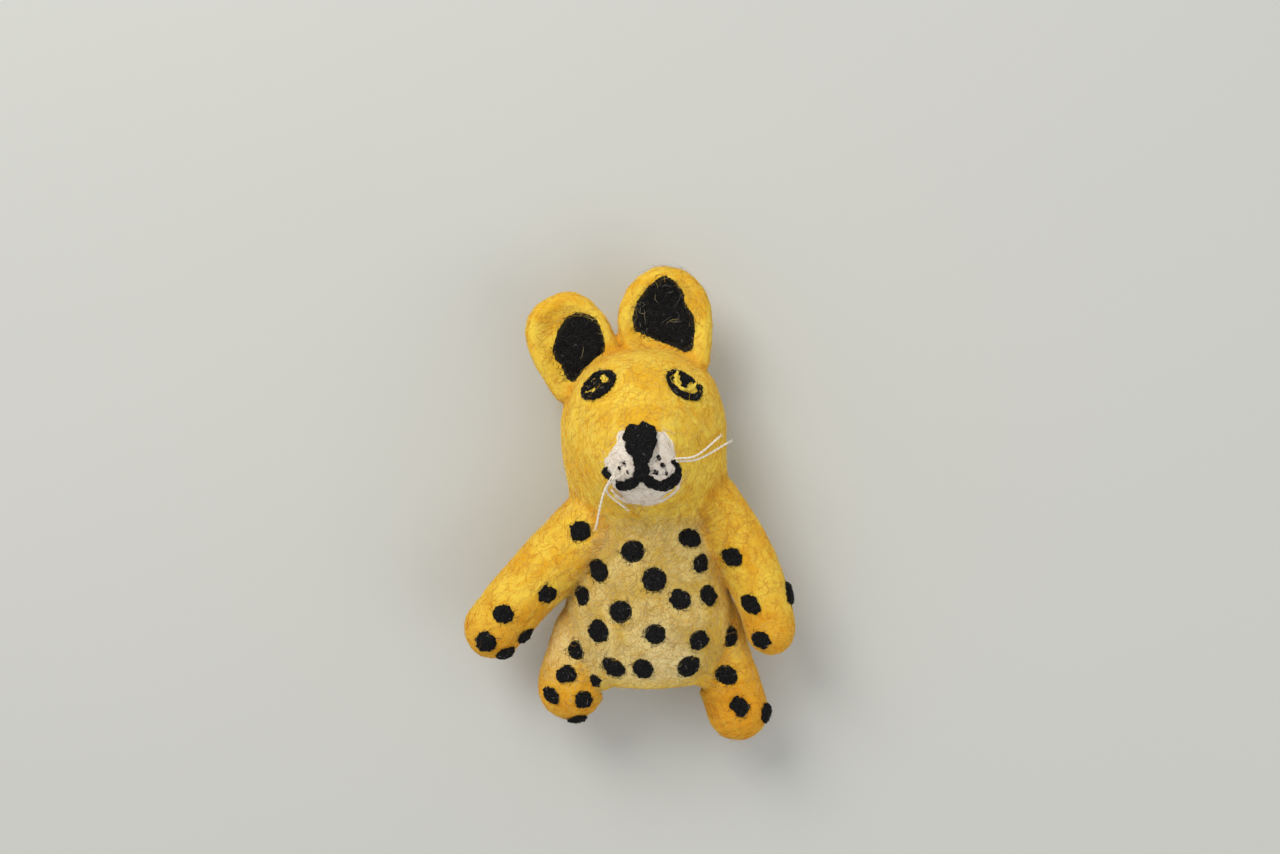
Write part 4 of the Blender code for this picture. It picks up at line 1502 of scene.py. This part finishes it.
def build_tufts(frame: dict, felt: Felt) -> list[bpy.types.Object]:
    """Builds the muzzle, the black tufts and the light strands over them.

    Args:
        felt: The felt that carries them.

    Returns:
        The muzzle and the black tufts, which fibres are laid on.
    """
    muzzle = Tuft(frame, "muzzle_wool", ("muzzle",), WHITE_TUFT, voxel=0.28 * MM, sink=0.10 * MM,
                  lump=2.2 * MM, height=0.35 * MM, ragged=0.5 * MM, top=MUZZLE_TOP,
                  strands=CHIN).build(felt, [felt.tree])
    grounds = [felt.tree, tree_of(muzzle)]
    wools = {tuft.name: tuft.build(felt, grounds) for tuft in black_tufts(frame)}
    for side, strands in EYE_LIGHTS.items():
        light = light_tuft(frame, f"eye_light_{side}", YELLOW_TUFT, 0.15 * MM, strands)
        light.build(felt, [felt.tree, tree_of(wools[f"eye_wool_{side}"])])
    light = light_tuft(frame, "mouth_light", WHITE_TUFT, 0.2 * MM, MOUTH_LIGHT)
    light.build(felt, [*grounds, tree_of(wools["mouth_wool_right"])])
    return [muzzle, *wools.values()]


# Fibres over everything


@dataclass(frozen=True)
class Mix:
    """The dyes of the fibres in one region, each with its share."""

    shares: tuple[tuple[Wool, float], ...]

    def pick(self, rng: np.random.Generator) -> int:
        """Picks one fibre's dye.

        Args:
            rng: The layer's own random numbers.

        Returns:
            The dye, as its place among the wools.
        """
        weights = np.array([share for _, share in self.shares])
        chosen = rng.choice(len(weights), p=weights / weights.sum())
        return list(Wool).index(self.shares[chosen][0])


YELLOW_MIX = Mix(((Wool.YELLOW, 0.44), (Wool.LEMON, 0.22), (Wool.GOLD, 0.26), (Wool.ORANGE, 0.08)))
# Fibres over orange felt: its own orange, and painted shade in creases and at the limbs' ends
ORANGE_AND_SHADE_MIX = Mix(((Wool.GOLD, 0.42), (Wool.ORANGE, 0.33), (Wool.YELLOW, 0.25)))
BELLY_MIX = Mix(((Wool.TAN, 0.40), (Wool.BEIGE, 0.26), (Wool.OLIVE, 0.18), (Wool.GOLD, 0.16)))
BLACK_MIX = Mix(((Wool.BLACK, 0.84), (Wool.SOOT, 0.13), (Wool.GREY, 0.03)))
WHITE_MIX = Mix(((Wool.WHITE, 0.74), (Wool.PINK, 0.22), (Wool.GREY, 0.04)))
PALE_MIX = Mix(((Wool.GREY, 0.5), (Wool.LEMON, 0.25), (Wool.BEIGE, 0.25)))
EYE_MIX = Mix(((Wool.GREY, 0.35), (Wool.GOLD, 0.35), (Wool.OLIVE, 0.30)))
DARK_MIX = Mix(((Wool.SOOT, 0.7), (Wool.BLACK, 0.3)))


class Region(Enum):
    """Parts of the surface that a layer of fibres may lie on."""

    HEAD = "head"
    TORSO = "torso"
    LIMBS = "limbs"
    BLACK = "black wool"
    RIM = "edges of black wool"
    LININGS = "linings of the ears"
    EYES = "black wool of the eyes"
    EAR_TOP = "top of one ear"
    WHITE = "white wool"
    PLAIN = "felt that is neither black nor white"


@dataclass(frozen=True)
class Layer:
    """One layer of fibres: how many are tried, how they lie, and where their random numbers start.

    A layer lays the mix of what lies under it, or only the one that it names.
    """

    name: str
    region: Region
    count: int
    lay: Lay
    slot: str
    seed: int
    only: Mix | None = None


LYING = Lay(2.2 * MM, 5.5 * MM, 0.030 * MM, arch=0.07 * MM)
LAYERS = (
    Layer("head_fuzz", Region.HEAD, 10800, LYING, "yellow_wool", 11),
    Layer("torso_fuzz", Region.TORSO, 10800, LYING, "yellow_wool", 12),
    Layer("limb_fuzz", Region.LIMBS, 6500, LYING, "orange_wool", 13),
    Layer("black_fibres", Region.BLACK, 9000,
          Lay(0.8 * MM, 2.0 * MM, 0.034 * MM, arch=0.16 * MM, curl=1.1, free=0.2, stand=0.4 * MM),
          "black_wool", 14),
    Layer("black_edges", Region.RIM, 2600,
          Lay(0.5 * MM, 1.3 * MM, 0.036 * MM, arch=0.16 * MM, curl=1.0, free=0.15, stand=0.3 * MM),
          "black_wool", 17, BLACK_MIX),
    Layer("pale_hairs", Region.LININGS, 46,
          Lay(2.5 * MM, 6.0 * MM, 0.022 * MM, arch=0.30 * MM, curl=0.9, free=0.3, stand=0.8 * MM),
          "white_wool", 18, PALE_MIX),
    Layer("eye_hairs", Region.EYES, 90,
          Lay(0.8 * MM, 1.9 * MM, 0.030 * MM, arch=0.16 * MM, curl=0.9, free=0.1, stand=0.3 * MM),
          "yellow_wool", 19, EYE_MIX),
    Layer("dark_hairs", Region.EAR_TOP, 34,
          Lay(3 * MM, 7 * MM, 0.018 * MM, arch=0.4 * MM, curl=0.7, free=0.9, stand=1.4 * MM),
          "black_wool", 20, DARK_MIX),
    Layer("white_fibres", Region.WHITE, 1500,
          Lay(1.6 * MM, 4.0 * MM, 0.034 * MM, arch=0.2 * MM, curl=0.9), "white_wool", 15),
    Layer("stray_hairs", Region.PLAIN, 240,
          Lay(5 * MM, 11 * MM, 0.022 * MM, arch=0.5 * MM, curl=0.5, free=0.85, stand=3.0 * MM),
          "yellow_wool", 16),
)


@dataclass
class Coat:
    """Fine fibres over the felt and its tufts, coloured by what lies under their roots.

    Lengths are in metres. Wool counts as black or white above full, and no coloured fibre starts or
    has its middle where it is above faint, but for the share that may cross.
    """

    pieces: Sequence[bpy.types.Object]
    skin: Skin
    clearance: float = 1.2 * MM
    lift: float = 0.00008
    full: float = 0.6
    faint: float = 0.35
    rim: tuple[float, float] = (0.30, 0.9)
    crossing: float = 0.04
    resting: tuple[float, float] = (0.00015, -0.8)
    neck: float = 2 * MM
    limb_top: float = 4 * MM
    limb_side: float = 16.5 * MM
    linings_from: float = 33 * MM
    eyes_span: tuple[float, float] = (23 * MM, 30 * MM)
    eyes_height: float = 20 * MM
    ear_top: tuple[float, float] = (2 * MM, 44.5 * MM)
    felt: Felt = field(init=False)
    ground: dict[Place, np.ndarray] = field(init=False)
    weights: np.ndarray = field(init=False)

    def __post_init__(self) -> None:
        """Joins copies of the pieces into one surface to lay fibres on."""
        copies = []
        for piece in self.pieces:
            copy = bpy.data.objects.new("ground", piece.data.copy())
            bpy.context.scene.collection.objects.link(copy)
            copies.append(copy)
        joined = join(copies)
        self.felt = Felt(joined)
        self.ground = {place: self.felt.values(place) for place in Place}
        bpy.data.objects.remove(joined)
        low, down = self.resting
        resting = (self.felt.centres[:, 2] < low) & (self.felt.facings[:, 2] < down)
        hidden = self.skin.in_pocket(self.felt.centres) | resting
        self.weights = self.felt.areas * ~hidden

    def covered(self, face: int) -> bool:
        """Tells whether a face lies under a tuft.

        Args:
            face: The face's number.

        Returns:
            True if it does.
        """
        facing = Vector(self.felt.facings[face])
        start = Vector(self.felt.centres[face]) + facing * self.lift
        return self.felt.tree.ray_cast(start, facing, self.clearance)[0] is not None

    def mix_at(self, face: int, rng: np.random.Generator) -> Mix:
        """Finds the mix of dyes at a face.

        Args:
            face: The face's number.
            rng: The layer's own random numbers.

        Returns:
            The mix.
        """
        if self.ground[Place.BLACKENED][face] > self.full:
            return BLACK_MIX
        if self.ground[Place.WHITENED][face] > self.full:
            return WHITE_MIX
        if rng.random() < self.ground[Place.BELLY][face]:
            return BELLY_MIX
        # Orange fibres where the felt is orange, by its own tone and by painted shade in creases
        # and at the limbs' ends
        return ORANGE_AND_SHADE_MIX if rng.random() < self.ground[Place.ORANGE_AND_SHADE][face] else YELLOW_MIX

    def strays(self, face: int, mix: Mix) -> bool:
        """Tells whether a coloured fibre would lie across black or white wool.

        Args:
            face: The number of a face under it.
            mix: The fibre's mix.

        Returns:
            True if it would.
        """
        if mix is BLACK_MIX:
            return False
        black, white = self.ground[Place.BLACKENED][face], self.ground[Place.WHITENED][face]
        return black > self.faint or (mix is not WHITE_MIX and white > self.faint)

    def lay(self, layer: Layer, where: np.ndarray) -> bpy.types.Object:
        """Lays one layer of fibres.

        Args:
            layer: The layer.
            where: A factor for each face of the ground.

        Returns:
            The finished piece.
        """
        rng = np.random.default_rng(layer.seed)
        weights = self.weights * where
        laid = Fibres()
        for face in rng.choice(len(weights), layer.count, p=weights / weights.sum()):
            if self.covered(face):
                continue
            mix = layer.only or self.mix_at(face, rng)
            heading = Vector(rng.normal(size=3))
            start = Vector(self.felt.centres[face])
            path, out, middle = layer.lay.walk(self.felt, start, heading, rng)
            astray = not layer.only and (self.strays(face, mix) or self.strays(middle, mix))
            if astray and rng.random() > self.crossing:
                continue
            radius = layer.lay.radius * rng.uniform(*layer.lay.thickness)
            laid.add(path, out, radius, mix.pick(rng))
        return finish_fibres(laid, layer.name)

    def regions(self) -> dict[Region, np.ndarray]:
        """Finds which faces of the ground lie in each region.

        Returns:
            True or false for each face, by region.
        """
        x, y, z = self.felt.centres.T
        stain = self.ground[Place.BLACKENED]
        black, white = stain > self.full, self.ground[Place.WHITENED] > self.full
        plain = ~black & ~white
        limbs = (y < self.limb_top) & (np.abs(x) > self.limb_side)
        return {
            Region.HEAD: plain & (y >= self.neck) & ~limbs,
            Region.TORSO: plain & (y < self.neck) & ~limbs,
            Region.LIMBS: plain & limbs,
            Region.BLACK: black,
            Region.RIM: (stain > self.rim[0]) & (stain < self.rim[1]),
            Region.LININGS: black & (y > self.linings_from),
            Region.EYES: (black & (y > self.eyes_span[0]) & (y < self.eyes_span[1])
                          & (z > self.eyes_height)),
            Region.EAR_TOP: plain & (x > self.ear_top[0]) & (y > self.ear_top[1]),
            Region.WHITE: white,
            Region.PLAIN: plain,
        }

    def build(self) -> None:
        """Lays every layer."""
        regions = self.regions()
        for layer in LAYERS:
            self.lay(layer, regions[layer.region])


def finish_fibres(laid: Fibres, name: str) -> bpy.types.Object:
    """Builds a piece of fibres with only the dyes that it holds.

    Args:
        laid: The fibres, their dyes numbered as the wools are.
        name: The piece's name.

    Returns:
        The finished piece.
    """
    used = sorted(set(laid.dyes))
    laid.dyes = [used.index(colour) for colour in laid.dyes]
    piece = laid.build(name)
    finish_piece(piece, (), [FibreFinish(list(Wool)[index]).material() for index in used])
    return piece


# Whiskers


@dataclass
class Whisker:
    """An end of white thread: two plies twisted round each other, a little frayed at the tip.

    Its route is counted from the middle of the face. Lengths are in metres.
    """

    name: str
    route: tuple[tuple[float, float, float], ...]
    face: tuple[float, float] = (-1.4 * MM, 11.9 * MM)
    node_radius: float = 0.25 * MM
    ply_radius: float = 0.13 * MM
    ply_apart: float = 0.10 * MM
    pitch: float = 1.7 * MM
    root: float = 1.0 * MM
    frayed: float = 0.12
    spread: float = 1.6
    thinned: float = 0.6
    points: int = 60

    def middle_line(self) -> np.ndarray:
        """Lays the thread's middle, from its root in the muzzle's wool.

        Returns:
            Its points as rows.
        """
        line = smooth_line(np.array([(*self.face, 0.0)]) + np.array(self.route), self.points)
        line[:, 2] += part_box(f"whisker_{self.name}")[0].z + self.node_radius - line[:, 2].min()
        start = 2 * line[0] - line[3]
        return np.concatenate([[start - (0, 0, self.root)], line])

    def build(self, finish: bpy.types.Material) -> bpy.types.Object:
        """Makes the thread in the place of its node.

        Args:
            finish: The thread's material.

        Returns:
            The finished piece.
        """
        line = self.middle_line()
        along = np.gradient(line, axis=0)
        steps = np.linalg.norm(along, axis=1, keepdims=True)
        along /= steps
        side = np.cross(along, (0, 0, 1.0))
        side /= np.linalg.norm(side, axis=1, keepdims=True)
        up = np.cross(side, along)
        turn = np.cumsum(steps) / self.pitch * 2 * math.pi
        share = np.linspace(0, 1, len(line))
        loose = ease(share, 1 - self.frayed, 1.0)
        apart = (self.ply_apart * (1 + self.spread * loose))[:, None]
        plies = []
        for ply in (0.0, math.pi):
            swing = (turn + ply)[:, None]
            plies.append(line + apart * (np.cos(swing) * side + np.sin(swing) * up))
        made = thread_mesh(f"whisker_thread_{self.name}", plies, self.ply_radius,
                           1 - self.thinned * loose)
        made.data.shade_smooth()
        finish_piece(made, (f"whisker_{self.name}",), [finish])
        return made


WHISKERS = (
    Whisker("left_upper", ((0.0066, 0.0022, 0.0), (0.0104, 0.0030, 0.001),
                           (0.0152, 0.0068, 0.0))),
    Whisker("left_lower", ((0.0068, 0.0016, 0.0), (0.0109, 0.0023, 0.001),
                           (0.0172, 0.0055, -0.001))),
    Whisker("right_outer", ((-0.0046, 0.0004, 0.0), (-0.0070, -0.0040, 0.002),
                            (-0.0086, -0.0115, 0.0))),
    Whisker("right_inner", ((-0.0034, -0.0005, 0.0), (-0.0054, -0.0020, -0.0004),
                            (-0.0064, -0.0048, -0.0040), (-0.0022, -0.0088, -0.0062))),
)


# Studio


@dataclass(frozen=True)
class Lamp:
    """A soft square lamp."""

    name: str
    place: tuple[float, float, float]
    size: float
    power: float
    colour: tuple[float, float, float]


@dataclass
class Studio:
    """Camera, pale floor and soft light: a key from the upper left, a weak fill, a pale room."""

    aim: Vector = field(default_factory=lambda: Vector((-0.0016, 0.01676, 0.013)))
    distance: float = 0.356
    tilt_deg: float = 8.0
    lens: float = 50.0
    clip: tuple[float, float] = (0.01, 10.0)
    floor_size: float = 6.0
    lamps: tuple[Lamp, ...] = (
        Lamp("key", (-0.34, 0.52, 0.54), 0.40, 3.6, (1.0, 0.98, 0.95)),
        Lamp("fill", (0.50, -0.20, 0.50), 0.50, 0.9, (0.97, 0.99, 1.0)),
    )
    room: Colour = (0.97, 0.98, 1.0, 1.0)
    room_strength: float = 0.52

    def camera(self) -> None:
        """Looks down on the front of the puppet, from a little towards its head."""
        tilt = math.radians(self.tilt_deg)
        back = Vector((0, math.sin(tilt), math.cos(tilt)))
        data = bpy.data.cameras.new("camera")
        data.lens = self.lens
        data.clip_start, data.clip_end = self.clip
        made = bpy.data.objects.new("camera", data)
        bpy.context.scene.collection.objects.link(made)
        made.location = self.aim + self.distance * back
        made.rotation_mode = "QUATERNION"
        right = Vector((1, 0, 0))
        up = back.cross(right)
        made.rotation_quaternion = Matrix((right, up, back)).transposed().to_quaternion()
        bpy.context.scene.camera = made

    def floor(self) -> None:
        """A wide sheet of paper under the puppet."""
        deselect()
        bpy.ops.mesh.primitive_plane_add(size=self.floor_size, location=(0, 0, 0))
        floor = bpy.context.view_layer.objects.active
        floor.name = "floor"
        floor.data.materials.append(FloorFinish().material())

    def add_lamp(self, lamp: Lamp) -> None:
        """Adds one lamp, aimed at the puppet.

        Args:
            lamp: The lamp.
        """
        data = bpy.data.lights.new(lamp.name, "AREA")
        data.size, data.energy, data.color = lamp.size, lamp.power, lamp.colour
        made = bpy.data.objects.new(lamp.name, data)
        bpy.context.scene.collection.objects.link(made)
        made.location = lamp.place
        made.rotation_mode = "QUATERNION"
        made.rotation_quaternion = (self.aim - Vector(lamp.place)).to_track_quat("-Z", "Y")

    def light(self) -> None:
        """Adds the lamps and the room."""
        for lamp in self.lamps:
            self.add_lamp(lamp)
        world = bpy.data.worlds.new("room")
        bpy.context.scene.world = world
        world.use_nodes = True
        background = world.node_tree.nodes["Background"]
        background.inputs["Color"].default_value = self.room
        background.inputs["Strength"].default_value = self.room_strength

    def build(self) -> None:
        """Sets the studio up."""
        self.camera()
        self.floor()
        self.light()
        bpy.context.scene.view_settings.view_transform = "Standard"


def main() -> None:
    """Builds the puppet's pieces in order."""
    logging.basicConfig(level=logging.INFO, format="%(name)s %(message)s")
    noise.seed_set(NOISE_SEED)
    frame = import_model()
    Studio().build()
    skin = Skin(frame)
    felt = skin.build()
    Coat([felt.piece, *build_tufts(frame, felt)], skin).build()
    thread = WHITE_THREAD.material()
    for whisker in WHISKERS:
        whisker.build(thread)
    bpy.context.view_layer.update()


if __name__ == "__main__":
    main()
